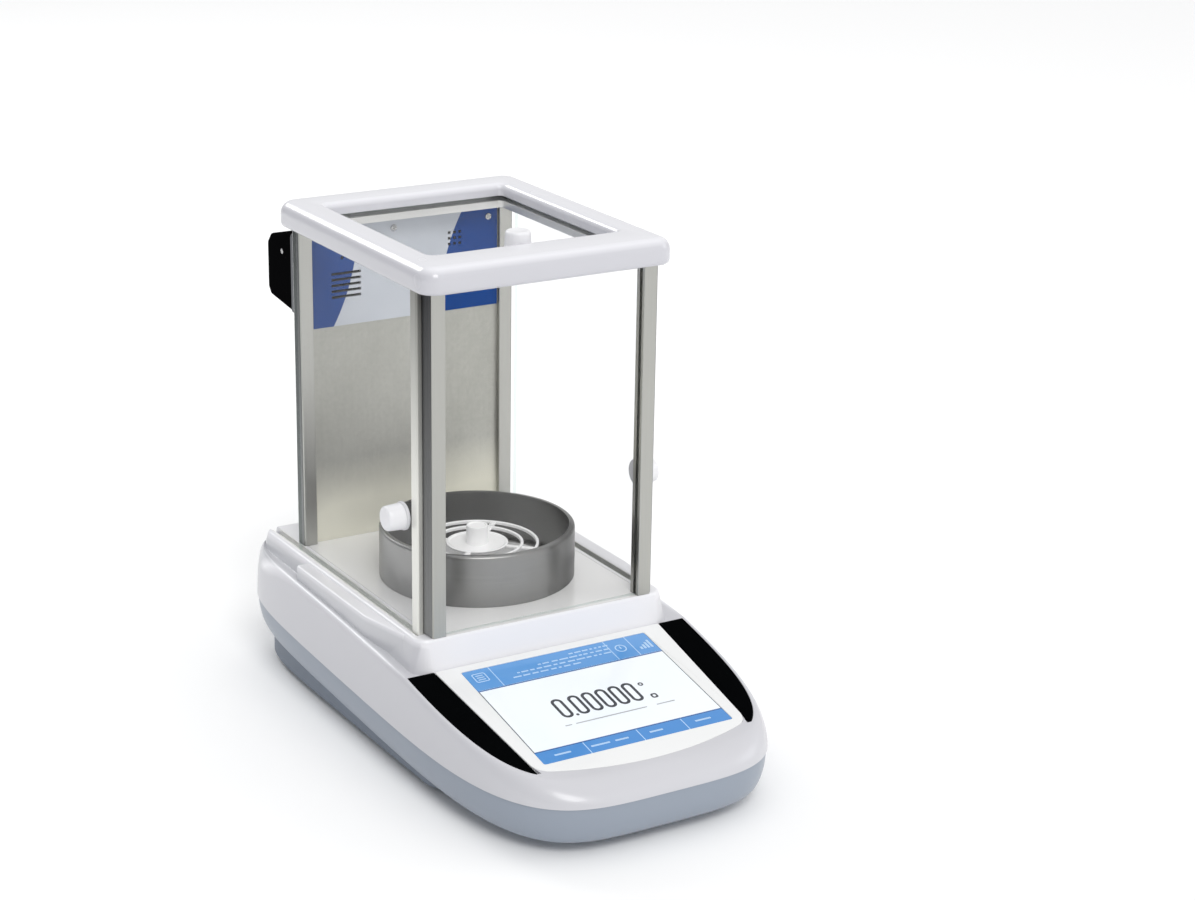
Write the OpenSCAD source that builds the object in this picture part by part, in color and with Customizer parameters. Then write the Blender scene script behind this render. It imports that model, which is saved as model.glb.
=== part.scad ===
// Semi-micro balance: a moulded base with a sloped touch panel, a glass draft shield on four
// posts, a spun wind ring and an open weighing pan.
// The origin lies on the bench under the centre of the base. +Y points to the rear and +X to the
// operator's right. All sizes are in millimetres.

/* [Base] */
// Length of the nose ahead of the draft shield
nose_l = 164; // [136:1:197]
// Length of the base behind the draft shield
tail_l = 55.4; // [46:0.1:67]
// Width of the base outside each side of the draft shield
flank_w = 29.5; // [24:0.1:36]
// Distance from the tip of the nose to the widest point of the base
widest_l = 224; // [186:1:270]
// Squareness of the plan outline ahead of the widest point
nose_n = 4; // [3:0.1:6]
// Squareness of the plan outline behind the widest point
tail_n = 6.6; // [4:0.1:9]
// Gap between the bench and the underside of the chin
chin_gap = 8.5; // [7:0.1:11]
// Height of the lower shell below the seam, at the nose
tray_nose_h = 27; // [22:0.5:33]
// Height of the lower shell below the seam, at the rear
tray_rear_h = 24.5; // [20:0.5:29]
// Depth of the seam below the deck, at the nose
seam_nose_d = 60.5; // [50:0.5:73]
// Depth of the seam below the deck, at the rear
seam_rear_d = 43.5; // [36:0.5:52]
// Wall thickness of both shells
shell_t = 3; // [2.5:0.1:4]
// Gap between the two shells along the seam
seam_gap = 0.3; // [0.1:0.1:1]
// Distance of the rounded edge in from the outline, along the sides
edge_in = 5.6; // [4:0.1:8]
// Distance of the rounded edge in from the outline, at the nose
lip_in = 19.5; // [17:0.5:22]
// Distance of the tray's floor edge in from the outline
tray_in = 10; // [8:0.5:14]

/* [Deck and panel] */
// Width of the deck outside each side of the draft shield
deck_rim = 10; // [8:0.1:13]
// Draft of the deck's walls over their height
deck_draft = 5; // [2:0.1:7]
// Corner radius of the deck
deck_r = 9; // [5:0.1:14]
// Length of the deck behind the draft shield
deck_tail = 38; // [30:1:44]
// Drop from the deck to the top of the control panel
riser_h = 20; // [16:0.5:24]
// Drop from the deck to the ledge behind it, at the rear
ledge_d = 9.5; // [7:0.5:12]
// Distance of the panel's top edge ahead of the draft shield
riser_run = 6; // [4:0.5:9]
// Slope of the control panel in degrees
panel_slope = 10.6; // [8:0.1:12.5]
// Thickness of the bezel and of the side inserts
bezel_t = 2; // [1.5:0.1:3]
// Distance of the bezel's upper corners in from the base's widest outline
bezel_side = 27; // [22:0.5:32]
// Narrowing of each side of the bezel towards its lower corners
bezel_taper = 7; // [4:0.5:10]
// Distance of the bezel's lower edge behind the rounded edge of the nose
bezel_lip = 2; // [1.5:0.5:6]
// How far the bezel's lower edge bows forward in the middle
bezel_bow = 10.5; // [7:0.5:13]
// Radius of the bezel's lower corners
bezel_r = 13; // [8:0.5:20]
// Distance of the touch screen in from the bezel's lower corners
screen_side = 9; // [6:0.5:16]
// Distance of the touch screen from the bezel's top edge
screen_in = 7; // [5:0.5:9]
// Distance of the touch screen from the bezel's lower edge
screen_low = 8; // [7:0.5:16]
// Clearance round pieces that sit in a recess
fit_gap = 0.25; // [0.1:0.05:0.5]

/* [Draft shield] */
// Width over the posts
shield_w = 169; // [141:1:203]
// Length over the posts
shield_l = 206.6; // [172:0.1:248]
// Height from the deck to the top rails
shield_h = 235; // [196:1:282]
// Width and depth of each post
post_s = 10; // [8:0.5:12]
// Thickness of the glass
glass_t = 3; // [2.5:0.1:4]
// Gap between the posts and the side doors
door_gap = 1.3; // [1.1:0.1:2]
// Thickness of the side doors' edge rail
rail_t = 4.4; // [4.4:0.1:5.5]
// Depth of the side doors' edge rail
rail_d = 8; // [6:0.5:10]
// Depth of the track under the side doors
track_d = 5; // [4:0.5:6]
// Wall thickness of the track
track_t = 0.8; // [0.6:0.1:1]
// Running clearance of the doors in their grooves
slide_gap = 0.3; // [0.2:0.05:0.5]
// Thickness of the top rails
top_rail_t = 5.2; // [4:0.1:7]
// Height of the moulded top frame
frame_h = 17.5; // [15:0.5:21]
// Overhang of the top frame outside the posts
frame_out = 9.2; // [8.6:0.1:12]
// Width of the top frame's side bars, over the posts
bar_side = 14.5; // [12:0.5:18]
// Width of the top frame's front bar, over the posts
bar_front = 28; // [22:0.5:34]
// Width of the top frame's rear bar, over the posts
bar_rear = 21; // [17:0.5:26]
// Radius of the top frame's outer corners
frame_r = 13; // [9:0.5:18]
// Diameter of a door knob at its base
knob_d = 18; // [14:0.5:22]
// Diameter of a door knob at its tip
knob_tip_d = 15; // [12:0.5:18]
// Length of a door knob
knob_l = 12; // [10:0.5:15]
// Height of the collar under a door knob
collar_h = 2.5; // [2:0.1:4]
// Height of the side knobs above the deck
knob_z = 78; // [60:1:95]

/* [Rear wall] */
// Thickness of the rear wall
wall_t = 1.5; // [1:0.1:2]
// Height of the vent panel
vent_panel_h = 73; // [60:1:85]
// Distance of the vent panel's upper edge below the top rails
vent_panel_d = 2; // [1:0.5:6]
// Thickness of the vent panel
vent_panel_t = 1.2; // [1:0.1:2]
// Length of one vent slot
slot_l = 23; // [16:1:26]
// Height of one vent slot
slot_h = 2; // [1.4:0.1:2.6]
// Distance from one row of vents to the next
slot_pitch = 4.2; // [3.5:0.1:4.6]
// Number of vent slots in each bank
slot_count = 5; // [3:1:6]
// Depth of the vent housing
housing_d = 39; // [32:1:46]
// Height of the vent housing
housing_h = 54; // [45:1:62]

/* [Weighing chamber] */
// Distance of the pan's centre behind the shield's front face
pan_back = 94; // [80:1:110]
// Diameter of the weighing pan
pan_d = 87; // [72:1:104]
// Height of the weighing pan above the deck
pan_h = 22; // [18:0.5:26]
// Outer diameter of the wind ring
ring_d = 136.8; // [114:0.1:160]
// Height of the wind ring
ring_h = 36.8; // [31:0.1:44]
// Wall thickness of the wind ring
ring_t = 1.2; // [1:0.1:2]
// Thickness of the chamber's floor plate
floor_t = 1.5; // [1:0.1:2]

/* [Feet] */
// Gap between the bench and the keel
keel_gap = 4.5; // [4:0.1:6]
// Distance of the keel in from the outline
keel_in = 11.5; // [10.5:0.5:15]
// Distance of the keel's front end behind the tip of the nose
keel_back = 119; // [100:1:135]
// Diameter of the rubber feet
foot_d = 22; // [18:0.5:27]
// Diameter of a level screw
screw_d = 8; // [7:0.5:9]
// Radial running clearance of a level screw
screw_gap = 0.05; // [0.02:0.01:0.1]
// Diameter of a level screw's thumb wheel
wheel_d = 34; // [28:0.5:38]
// Thickness of a level screw's thumb wheel
wheel_t = 7; // [5:0.5:8]

/* [Hidden] */
$fn = 64;

// Plan of the base
base_l = nose_l + shield_l + tail_l;
base_w = shield_w + 2 * flank_w;
nose_y = -base_l / 2;
tail_y = base_l / 2;
shield_y = nose_y + nose_l;
shield_end = shield_y + shield_l;
widest_y = nose_y + widest_l;
pan_y = shield_y + pan_back;
// Heights
deck_h = chin_gap + tray_nose_h + seam_nose_d;
rails_z = deck_h + shield_h;
frame_top = rails_z + frame_h;
// Directions round the right half of the outline, from the rear to the nose
TURNS = [4, 20, 32, 39, 43, 46, 49, 53, 60, 70, 80, 90, 98, 106, 114, 121, 127, 132, 137, 142,
         147, 153, 160, 168, 176];
EDGE_TURNS = [0, 18, 36, 54, 70, 82, 90];
// Points of the keel's outline lie between those of the shells, so their edges never cross
KEEL_TURNS = [for (i = [1:len(TURNS) - 1]) (TURNS[i - 1] + TURNS[i]) / 2];
// Cut depth that clears a face
over = 1;
// Control panel
riser_y = shield_y - riser_run;
bezel_y = riser_y - 1;
bezel_end = nose_y + lip_in + bezel_lip + bezel_bow;
bezel_l = bezel_y - bezel_end;
bezel_top = base_w / 2 - bezel_side;
bezel_low = bezel_top - bezel_taper;
tip_y = bezel_end + bezel_r;
screen_y = bezel_y - screen_in;
screen_w = 2 * (bezel_low - screen_side);
screen_l = bezel_l - screen_in - screen_low;
module_t = 6;
board_t = 1.6;
// Doors
post_x = shield_w / 2;
door_x = post_x + door_gap;
door_mid = door_x + rail_t / 2;
door_y = shield_y + post_s + slide_gap;
door_end = shield_end - post_s;
track_end = shield_end + deck_tail - 6;
track_w = rail_t + 2 * slide_gap + 2 * track_t;
door_z = deck_h - track_d + track_t + slide_gap;
groove_z = 2.6;
door_top = rails_z + groove_z - slide_gap;
side_knob_y = shield_y + 30;
// Top opening and top door
open_x = post_x - bar_side;
open_y = shield_y + bar_front;
open_end = shield_end - bar_rear;
top_glass_x = open_x + 6;
top_glass_y = open_y - 6;
top_glass_z = rails_z + top_rail_t + slide_gap;
top_slot_h = glass_t + 2 * slide_gap;
top_knob_y = open_y + knob_d / 2 + 2;
// Front glass and rear wall slots in the posts
slot_in = 3.3;
glass_y = shield_y + 3;
wall_y = shield_end - post_s + 3.5;
wall_slot = wall_t + 2 * 0.15;
housing_z = rails_z - 9 - housing_h;
neck_x = post_x - post_s - 1;
flange_t = 4;
// Keel and inside
keel_y = nose_y + keel_back;
keel_t = 4;
cell_z = keel_gap + keel_t;
cell_h = 38;
cell_front = pan_y - 22;
pot_r = 24;
coil_y = shield_end - 14.6;
cell_end = coil_y - pot_r - 4;
fulcrum_y = pan_y + 10;
pivot_r = 1.6;
lever_z = cell_z + cell_h + slide_gap;
lever_h = 7;
guide_x = 68;
guide_y = pan_y + 12;
vial_x = 52;
vial_y = shield_end + 20;
vial_d = 22;
vial_in = 2;
level_x = base_w / 2 - 44;
level_y = tail_y - 34;
foot_x = base_w / 2 - 52;
foot_y = nose_y + 84;
pad_h = 4;
column_x = post_x + 1;
column_ys = [shield_y + 18, shield_end - 62];
column_z = deck_h - 36;
column_d = 12;
wheel_z = keel_gap + 0.8;
shaft_top = cell_z + 22;
ports_w = base_w - 100;
ports_h = 22;
ports_z = deck_h - seam_rear_d + 6;
ports_y = tail_y - 9;
jack_x = -ports_w / 2 + 20;
data_x = -2;
usb_x = ports_w / 2 - 23;
socket_gap = 0.2;
jack_d = 11;
data_size = [32, 11];
usb_size = [14.4, 7.4];

// Point of the plan outline in the direction t, from 0 at the rear centre to 180 at the nose
function outline(t) =
  let (c = sin(t), s = cos(t), tail = s > 0, n = tail ? tail_n : nose_n,
       run = tail ? base_l - widest_l : widest_l,
       k = pow(pow(abs(c), n) + pow(abs(s), n), -1 / n))
  [base_w / 2 * c * k, widest_y + run * s * k];

// Outward direction of the outline at the point p
function outward(p) =
  let (d = p.y - widest_y, n = d > 0 ? tail_n : nose_n, run = d > 0 ? base_l - widest_l : widest_l,
       g = [pow(p.x * 2 / base_w, n - 1) * 2 / base_w, pow(abs(d) / run, n - 1) * sign(d) / run])
  g / norm(g);

// How far the rounded edge lies in from the outline at the point p
function edge_at(p) = edge_in + (lip_in - edge_in) * pow(max(0, -outward(p).y), 2);

// Heights along the base: seam, ledge with panel, and the lower shell's floor
function along(y) = (y - nose_y) / base_l;
function seam_z(y) = deck_h - seam_nose_d + (seam_nose_d - seam_rear_d) * pow(max(0, along(y)), 1.6);
function panel_z(y) = deck_h - riser_h + (y - riser_y) * tan(panel_slope);
function ledge_z(y) =
  deck_h - ledge_d - (riser_h - ledge_d) * pow(max(0, (tail_y - y) / (tail_y - riser_y)), 2.2);
function top_z(y) = y < riser_y ? panel_z(y) : ledge_z(y);
function tray_z(y) = seam_z(y) - tray_nose_h + (tray_nose_h - tray_rear_h) * along(y);

// Both halves of a ring from its right half, which runs from the rear to the front
function both(half) =
  concat(half, [for (i = [len(half) - 1:-1:0]) [-half[i].x, half[i].y, half[i].z]]);

// Ring of the upper shell's wall at the edge angle a, moved in by wall
function wall_ring(a, wall) = both([
  for (t = TURNS)
    let (p = outline(t), q = p - outward(p) * (wall + edge_at(p) * (1 - cos(a))),
         low = seam_z(p.y))
    [q.x, q.y, low + (top_z(q.y) - wall - low) * sin(a)]
]);

// Ring of the lower shell's wall at the edge angle a, moved in by wall
function tray_ring(a, wall) = both([
  for (t = TURNS)
    let (p = outline(t), q = p - outward(p) * (wall + 0.8 + (tray_in - 0.8) * (1 - cos(a))),
         high = seam_z(p.y) - seam_gap)
    [q.x, q.y, high - (high - tray_z(p.y) - wall) * sin(a)]
]);

// Ring of a rounded rectangle at the height z
function block_ring(half_w, y_end, y_start, r, z, steps = 5) = both(concat(
  [for (i = [0:steps]) let (a = 90 - 90 * i / steps)
    [half_w - r + r * cos(a), y_end - r + r * sin(a), z]],
  [for (i = [0:steps]) let (a = -90 * i / steps)
    [half_w - r + r * cos(a), y_start + r + r * sin(a), z]]
));

// Side faces from ring r to ring s of n points
function band(r, s, n) = [
  for (i = [0:n - 1])
    let (j = (i + 1) % n)
    each [[r * n + j, s * n + j, s * n + i], [r * n + j, s * n + i, r * n + i]]
];

// Faces that close ring r of n points by strips from its right half to its left half
function cap(r, n, up) =
  [for (i = [0:n / 2 - 2])
    let (f = [i, n - 1 - i, n - 2 - i, i + 1])
    [for (k = [0:3]) r * n + f[up ? 3 - k : k]]];

// Solid through rings of equal length, from its lowest ring to its highest
module loft(rings) {
  n = len(rings[0]);
  top = len(rings) - 1;
  polyhedron(
    points = [for (ring = rings) each ring],
    faces = concat(
      [for (r = [0:top - 1]) each band(r, r + 1, n)],
      cap(0, n, false),
      cap(top, n, true)));
}

// Closed frame through rings of equal length, up outside and down inside
module loop_loft(rings) {
  n = len(rings[0]);
  count = len(rings);
  polyhedron(
    points = [for (ring = rings) each ring],
    faces = [for (r = [0:count - 1]) each band(r, (r + 1) % count, n)]);
}

// Mirror image on the other side too
module mirrored() {
  children();
  mirror([1, 0, 0]) children();
}

// Child seen from above, cut to the panel's slope: t thick, with its top lift above the panel
module on_panel(lift, t) {
  intersection() {
    translate([0, riser_y, deck_h - riser_h])
      rotate([panel_slope, 0, 0])
        translate([-base_w / 2, -nose_l * 1.2, lift - t])
          cube([base_w, nose_l * 1.4, t]);
    linear_extrude(deck_h + riser_h) children();
  }
}

// Rectangle of width w from y0 to y1, centred across the base
module strip(w, y0, y1) {
  translate([-w / 2, y0]) square([w, y1 - y0]);
}

// Outline of the bezel seen from above, grown by g
module bezel_plan(g = 0) {
  corner_x = bezel_low - bezel_r;
  bow_r = (pow(corner_x, 2) + pow(bezel_r + bezel_bow, 2) - pow(bezel_r, 2)) / (2 * bezel_bow);
  bow_y = bezel_end - bezel_bow + bow_r;
  turn = atan(corner_x / (bow_y - tip_y));
  half = concat(
    [[bezel_top + g, bezel_y + g]],
    [for (i = [0:5]) let (a = i / 5 * (90 - turn))
      [corner_x + (bezel_r + g) * cos(a), tip_y - (bezel_r + g) * sin(a)]],
    [for (i = [1:5]) let (a = turn * (1 - i / 5))
      [(bow_r + g) * sin(a), bow_y - (bow_r + g) * cos(a)]]);
  polygon(concat(half, [for (i = [len(half) - 2:-1:0]) [-half[i].x, half[i].y]]));
}

// Outline of the right side insert seen from above, grown by g, and by lap more on its inner side
module insert_plan(g = 0, lap = 0) {
  inner = bezel_top + 2 * fit_gap - g - lap;
  lean = (bezel_top - bezel_low) / (bezel_y - tip_y);
  edge = [
    for (t = TURNS)
      let (p = outline(t), q = p - outward(p) * (edge_at(p) + 1.2 - g),
           side = inner - (bezel_y - q.y) * lean)
      if (q.y < bezel_y && q.y > bezel_end && q.x > side) q
  ];
  last = edge[len(edge) - 1];
  polygon(concat(
    [[inner, bezel_y + g], [edge[0].x, bezel_y + g]],
    edge,
    [[inner - (bezel_y - last.y) * lean, last.y]]));
}

// Touch screen seen from above, grown by g
module screen_plan(g = 0) {
  strip(screen_w + 2 * g, screen_y - screen_l - g, screen_y + g);
}

// Keel seen from above, grown by g
module keel_plan(g = 0) {
  front = keel_y - g;
  r = 26;
  intersection() {
    polygon([
      for (p = both([for (t = KEEL_TURNS) let (p = outline(t)) p - outward(p) * (keel_in - g)]))
        [p.x, p.y]
    ]);
    union() {
      strip(base_w, front + r, tail_y);
      strip(base_w - 2 * keel_in + 2 * g - 2 * r, front, front + r + over);
      for (side = [-1, 1])
        translate([side * (base_w / 2 - keel_in + g - r), front + r]) circle(r);
    }
  }
}

// Cast base: a keel with a floor and walls, bosses for the level screws and the cell's seat
module base_casting() {
  top = deck_h - seam_rear_d - 17;
  color("slategray")
    difference() {
      union() {
        difference() {
          translate([0, 0, keel_gap]) linear_extrude(top - keel_gap) keel_plan();
          translate([0, 0, cell_z]) linear_extrude(top) keel_plan(-keel_t);
        }
        intersection() {
          mirrored()
            translate([level_x, level_y, keel_gap])
              cylinder(h = shaft_top - keel_gap, r = wheel_d / 2 + 3);
          linear_extrude(top) keel_plan();
        }
        for (side = [-1, 1], y = column_ys)
          translate([side * column_x, y, keel_gap]) cylinder(h = column_z - keel_gap, d = column_d);
      }
      for (side = [-1, 1])
        translate([side * level_x, level_y, 0]) {
          cylinder(h = shaft_top + over, r = screw_d / 2 + screw_gap);
          cylinder(h = wheel_z + wheel_t + 1, d = wheel_d + 3);
          translate([-wheel_d / 2 + 3, 0, 0])
            cube([wheel_d - 6, wheel_d + 20, wheel_z + wheel_t + 1]);
        }
    }
}

// Lower shell: a flared tray with a rounded chin, open over the keel
module lower_shell() {
  color("lightslategray")
    difference() {
      union() {
        difference() {
          loft([for (a = [90, 80, 66, 50, 32, 14, 0]) tray_ring(a, 0)]);
          loft(concat([for (a = [90, 66, 36, 0]) tray_ring(a, shell_t)],
                      [[for (p = tray_ring(0, shell_t)) p + [0, 0, over]]]));
        }
        for (side = [-1, 1])
          translate([side * foot_x, foot_y, pad_h + chin_gap - 3]) cylinder(h = 9, d = foot_d + 4);
        for (x = [-52, 52], y = [-58, 2])
          translate([x, foot_y + y + 14, chin_gap + 1]) cylinder(h = 12.5, d = 7);
      }
      translate([0, 0, -over]) linear_extrude(deck_h) keel_plan(seam_gap);
      for (side = [-1, 1])
        translate([side * foot_x, foot_y, 0]) cylinder(h = pad_h + chin_gap, d = foot_d + 2 * fit_gap);
    }
}

// Side strip of the deck, beside the door track
module deck_strip() {
  top = deck_h - 1.5;
  low = deck_h - riser_h - 4;
  out = post_x + deck_rim + 10;
  translate([0, shield_end - 37, 0])
    rotate([90, 0, 0])
      linear_extrude(shield_l - 57)
        polygon([[post_x + 4, low], [out + 1.4, low], [out, top - 1.2], [out - 1.2, top], [post_x + 4, top]]);
}

// Deck block grown by g, between the heights low and top
module deck_block(rings) {
  half_w = post_x + deck_rim;
  loft([for (ring = rings)
    block_ring(half_w + ring[0], shield_end + deck_tail + ring[0], shield_y - 0.3 - ring[0],
               deck_r + ring[0], ring[1])]);
}

// Footprint of the four posts, grown by g
module posts_plan(g = 0) {
  for (side = [-1, 1], y = [shield_y, shield_end - post_s])
    translate([side * (post_x - post_s / 2) - post_s / 2 - g, y - g])
      square(post_s + 2 * g);
}

// Floor plate seen from above, grown by g
module floor_plan(g = 0) {
  difference() {
    strip(2 * (post_x - 2.2 + g), shield_y + 0.6 - g, wall_y - 0.4 + g);
    posts_plan(fit_gap - g);
  }
}

// Upper shell: lofted body with ledge and panel, deck with side strips, recesses and ports
module upper_shell() {
  color("gainsboro")
    difference() {
      union() {
        difference() {
          union() {
            loft([for (a = EDGE_TURNS) wall_ring(a, 0)]);
            deck_block([[deck_draft * 1.2, deck_h - riser_h - 4], [0.9, deck_h - 2.2],
                        [0.3, deck_h - 0.6], [-0.6, deck_h]]);
            mirrored() deck_strip();
          }
          loft(concat([[for (p = wall_ring(0, shell_t)) p - [0, 0, over]]],
                      [for (a = [8, 36, 66, 90]) wall_ring(a, shell_t)]));
          deck_block([[-shell_t, deck_h - riser_h - 5], [-shell_t - 1, deck_h - shell_t]]);
        }
        for (side = [-1, 1], y = column_ys)
          translate([side * column_x, y, column_z])
            cylinder(h = deck_h - shell_t / 2 - column_z, d = column_d - 2);
        mirrored()
          translate([door_mid - track_w / 2 - 2, shield_y, deck_h - track_d - 2])
            cube([track_w + 2, shield_l + deck_tail - 10, track_d]);
        translate([-ports_w / 2 - 3, ports_y - 3, ports_z - 3])
          cube([ports_w + 6, 6, ports_h + 6]);
      }
      on_panel(riser_h, riser_h + bezel_t) {
        bezel_plan(fit_gap);
        mirrored() insert_plan(fit_gap, 2);
      }
      on_panel(over, shell_t * 3) screen_plan(-4);
      mirrored()
        on_panel(over, shell_t * 3)
          translate([bezel_top + 5, bezel_y - 44]) square([6, 26]);
      translate([0, 0, deck_h - floor_t]) linear_extrude(over + floor_t) floor_plan(fit_gap);
      translate([0, pan_y, deck_h - 2 * shell_t]) cylinder(h = 3 * shell_t, d = 40);
      mirrored()
        translate([door_mid - track_w / 2, door_y, deck_h - track_d])
          cube([track_w, base_l, track_d + over]);
      translate([-ports_w / 2 + 6, ports_y - 4, ports_z + 3]) cube([ports_w - 12, 5, ports_h - 6]);
      translate([-ports_w / 2 - fit_gap, ports_y, ports_z - fit_gap])
        cube([ports_w + 2 * fit_gap, base_l, ports_h + 2 * fit_gap]);
      translate([vial_x, vial_y, deck_h - vial_in]) cylinder(h = 3, d = vial_d + 2 * fit_gap);
    }
}

// Bezel round the touch screen
module screen_bezel() {
  color("whitesmoke")
    on_panel(0, bezel_t)
      difference() {
        bezel_plan();
        screen_plan(fit_gap);
      }
}

// Glass of the touch screen
module touch_screen() {
  color("aliceblue") on_panel(0, bezel_t) screen_plan();
}

// Display panel behind the glass
module display_panel() {
  color("dimgray") on_panel(-bezel_t, module_t) screen_plan(-5);
}

// Circuit board behind the display panel
module display_board() {
  color("darkgreen") on_panel(-bezel_t - module_t, board_t) screen_plan(-9);
  color("dimgray") on_panel(-bezel_t - module_t - board_t, 4) strip(60, screen_y - 60, screen_y - 48);
}

// Dark windows of the touch-free sensors, beside the bezel
module panel_insert_left() {
  color("black") on_panel(0, bezel_t) mirror([1, 0]) insert_plan();
}

module panel_insert_right() {
  color("black") on_panel(0, bezel_t) insert_plan();
}

// Sensor boards behind the dark windows
module sensor_boards() {
  color("darkgreen")
    mirrored()
      on_panel(-bezel_t, board_t)
        translate([bezel_top + 5.4, bezel_y - 43.6]) square([5.2, 25.2]);
}

// Main circuit board on its pillars in the nose
module main_board() {
  z = chin_gap + 13.5;
  y = foot_y + 14;
  color("darkgreen") translate([-58, y - 64, z]) cube([116, 72, board_t]);
  color("dimgray") {
    translate([-40, y - 50, z + board_t]) cube([22, 22, 2]);
    translate([10, y - 30, z + board_t]) cube([34, 10, 7]);
    translate([-46, y - 12, z + board_t]) cube([30, 12, 9]);
  }
}

// Monolithic weighing cell: a block cut into a parallel guide, with a cradle for the lever's pivot
module weigh_cell() {
  w = 52;
  cut_end = pan_y + 28;
  color("silver")
    difference() {
      translate([-w / 2, cell_front, cell_z]) cube([w, cell_end - cell_front, cell_h]);
      for (z = [8, cell_h - 11])
        translate([-w / 2 - over, cell_front + 10, cell_z + z])
          cube([w + 2 * over, cut_end - cell_front - 10, 3]);
      for (y = [cell_front + 10, cut_end], z = [9.5, cell_h - 9.5])
        translate([-w / 2 - over, y, cell_z + z])
          rotate([0, 90, 0]) cylinder(h = w + 2 * over, r = 3);
      translate([-9, cell_front - over, cell_z + cell_h - 6])
        cube([18, fulcrum_y - 3 - cell_front + over, 6 + over]);
      translate([-9, fulcrum_y + 3, cell_z + cell_h - 6])
        cube([18, cell_end - fulcrum_y, 6 + over]);
      translate([-9 - over, fulcrum_y, lever_z])
        rotate([0, 90, 0]) cylinder(h = 18 + 2 * over, r = pivot_r + screw_gap);
    }
}

// Magnet pot behind the cell
module magnet_pot() {
  color("dimgray")
    translate([0, coil_y, cell_z])
      difference() {
        cylinder(h = cell_h - 4, r = pot_r);
        translate([0, 0, 16])
          difference() {
            cylinder(h = cell_h, r = 17);
            translate([0, 0, -over]) cylinder(h = cell_h + 2 * over, r = 10);
          }
      }
}

// Lever from the hanger over its pivot to the coil
module balance_lever() {
  front = pan_y - 7;
  color("lightgray")
    difference() {
      union() {
        translate([-6, front, lever_z]) cube([12, coil_y + 9 - front, lever_h]);
        translate([-6, fulcrum_y, lever_z]) rotate([0, 90, 0]) cylinder(h = 12, r = pivot_r);
      }
      for (y = [fulcrum_y + 14:14:coil_y - 18])
        translate([0, y, lever_z - over]) cylinder(h = lever_h + 2 * over, r = 3.5);
    }
}

// Coil in the magnet's gap, hung from the lever
module force_coil() {
  low = cell_z + 21;
  color("chocolate")
    translate([0, coil_y, low])
      difference() {
        cylinder(h = lever_z - low, r = 15);
        translate([0, 0, -over]) cylinder(h = lever_z - low - 2 + over, r = 12.6);
      }
}

// Hanger that carries the pan on its shoulder
module load_hanger() {
  low = lever_z + lever_h + slide_gap;
  shoulder = deck_h + 6;
  color("silver")
    translate([0, pan_y, 0]) {
      translate([0, 0, low]) cylinder(h = shoulder - low, r = 6);
      translate([0, 0, shoulder - 3]) cylinder(h = 3, r = 9);
      translate([0, 0, shoulder]) cylinder(h = 8, r = 5);
    }
}

// Motor and guide column of the internal calibration weight
module calibration_motor() {
  color("dimgray") {
    translate([guide_x - 12, pan_y - 30, cell_z]) cube([24, 26, 26]);
    translate([guide_x, guide_y, cell_z]) cylinder(h = 44, r = 4);
  }
}

// Lifter that runs on the guide column
module calibration_lifter() {
  z = cell_z + 27;
  color("goldenrod")
    difference() {
      union() {
        translate([guide_x, guide_y, z]) cylinder(h = 10, r = 8);
        translate([guide_x - 32, guide_y - 4, z]) cube([30, 8, 3]);
      }
      translate([guide_x, guide_y, z - over]) cylinder(h = 10 + 2 * over, r = 4.05);
    }
}

// Calibration weight on the lifter's arm
module calibration_weight() {
  color("silver")
    translate([guide_x - 24, guide_y, cell_z + 30]) cylinder(h = 18, r = 10);
}

// Rubber feet under the chin
module front_feet() {
  color("black")
    for (side = [-1, 1])
      translate([side * foot_x, foot_y, 0]) {
        cylinder(h = 1.5, r1 = foot_d / 2 - 1, r2 = foot_d / 2);
        translate([0, 0, 1.5]) cylinder(h = pad_h + chin_gap - 1.5, d = foot_d);
      }
}

// Rubber pad under a level screw
module level_pad(side) {
  color("black")
    translate([side * level_x, level_y, 0])
      difference() {
        cylinder(h = pad_h, d = foot_d);
        translate([0, 0, 1.6]) cylinder(h = pad_h, r = screw_d / 2 + screw_gap);
      }
}

// Level screw with its scalloped thumb wheel
module level_screw(side) {
  scallops = 18;
  color("silver")
    translate([side * level_x, level_y, 0]) {
      translate([0, 0, 1.6]) cylinder(h = shaft_top - 1.6 - 3, d = screw_d);
      translate([0, 0, wheel_z])
        difference() {
          cylinder(h = wheel_t, d = wheel_d);
          for (i = [0:scallops - 1])
            rotate(i * 360 / scallops)
              translate([wheel_d / 2 + 0.8, 0, -over]) cylinder(h = wheel_t + 2 * over, r = 2, $fn = 16);
        }
    }
}

module level_pad_left() {
  level_pad(-1);
}

module level_pad_right() {
  level_pad(1);
}

module level_screw_left() {
  level_screw(-1);
}

module level_screw_right() {
  level_screw(1);
}

// Holder of the bubble level, on the deck behind the rear wall
module level_holder() {
  color("dimgray")
    translate([vial_x, vial_y, deck_h - vial_in])
      difference() {
        cylinder(h = 6, d = vial_d);
        translate([0, 0, 1.2]) cylinder(h = 6, d = vial_d - 5);
      }
}

// Bubble level
module level_vial() {
  r = vial_d / 2 - 2.5 - fit_gap;
  color("yellowgreen")
    translate([vial_x, vial_y, deck_h - vial_in + 1.2]) {
      cylinder(h = 3.8, r = r);
      translate([0, 0, 3.8]) cylinder(h = 1, r1 = r, r2 = r - 1.2);
    }
}

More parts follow.
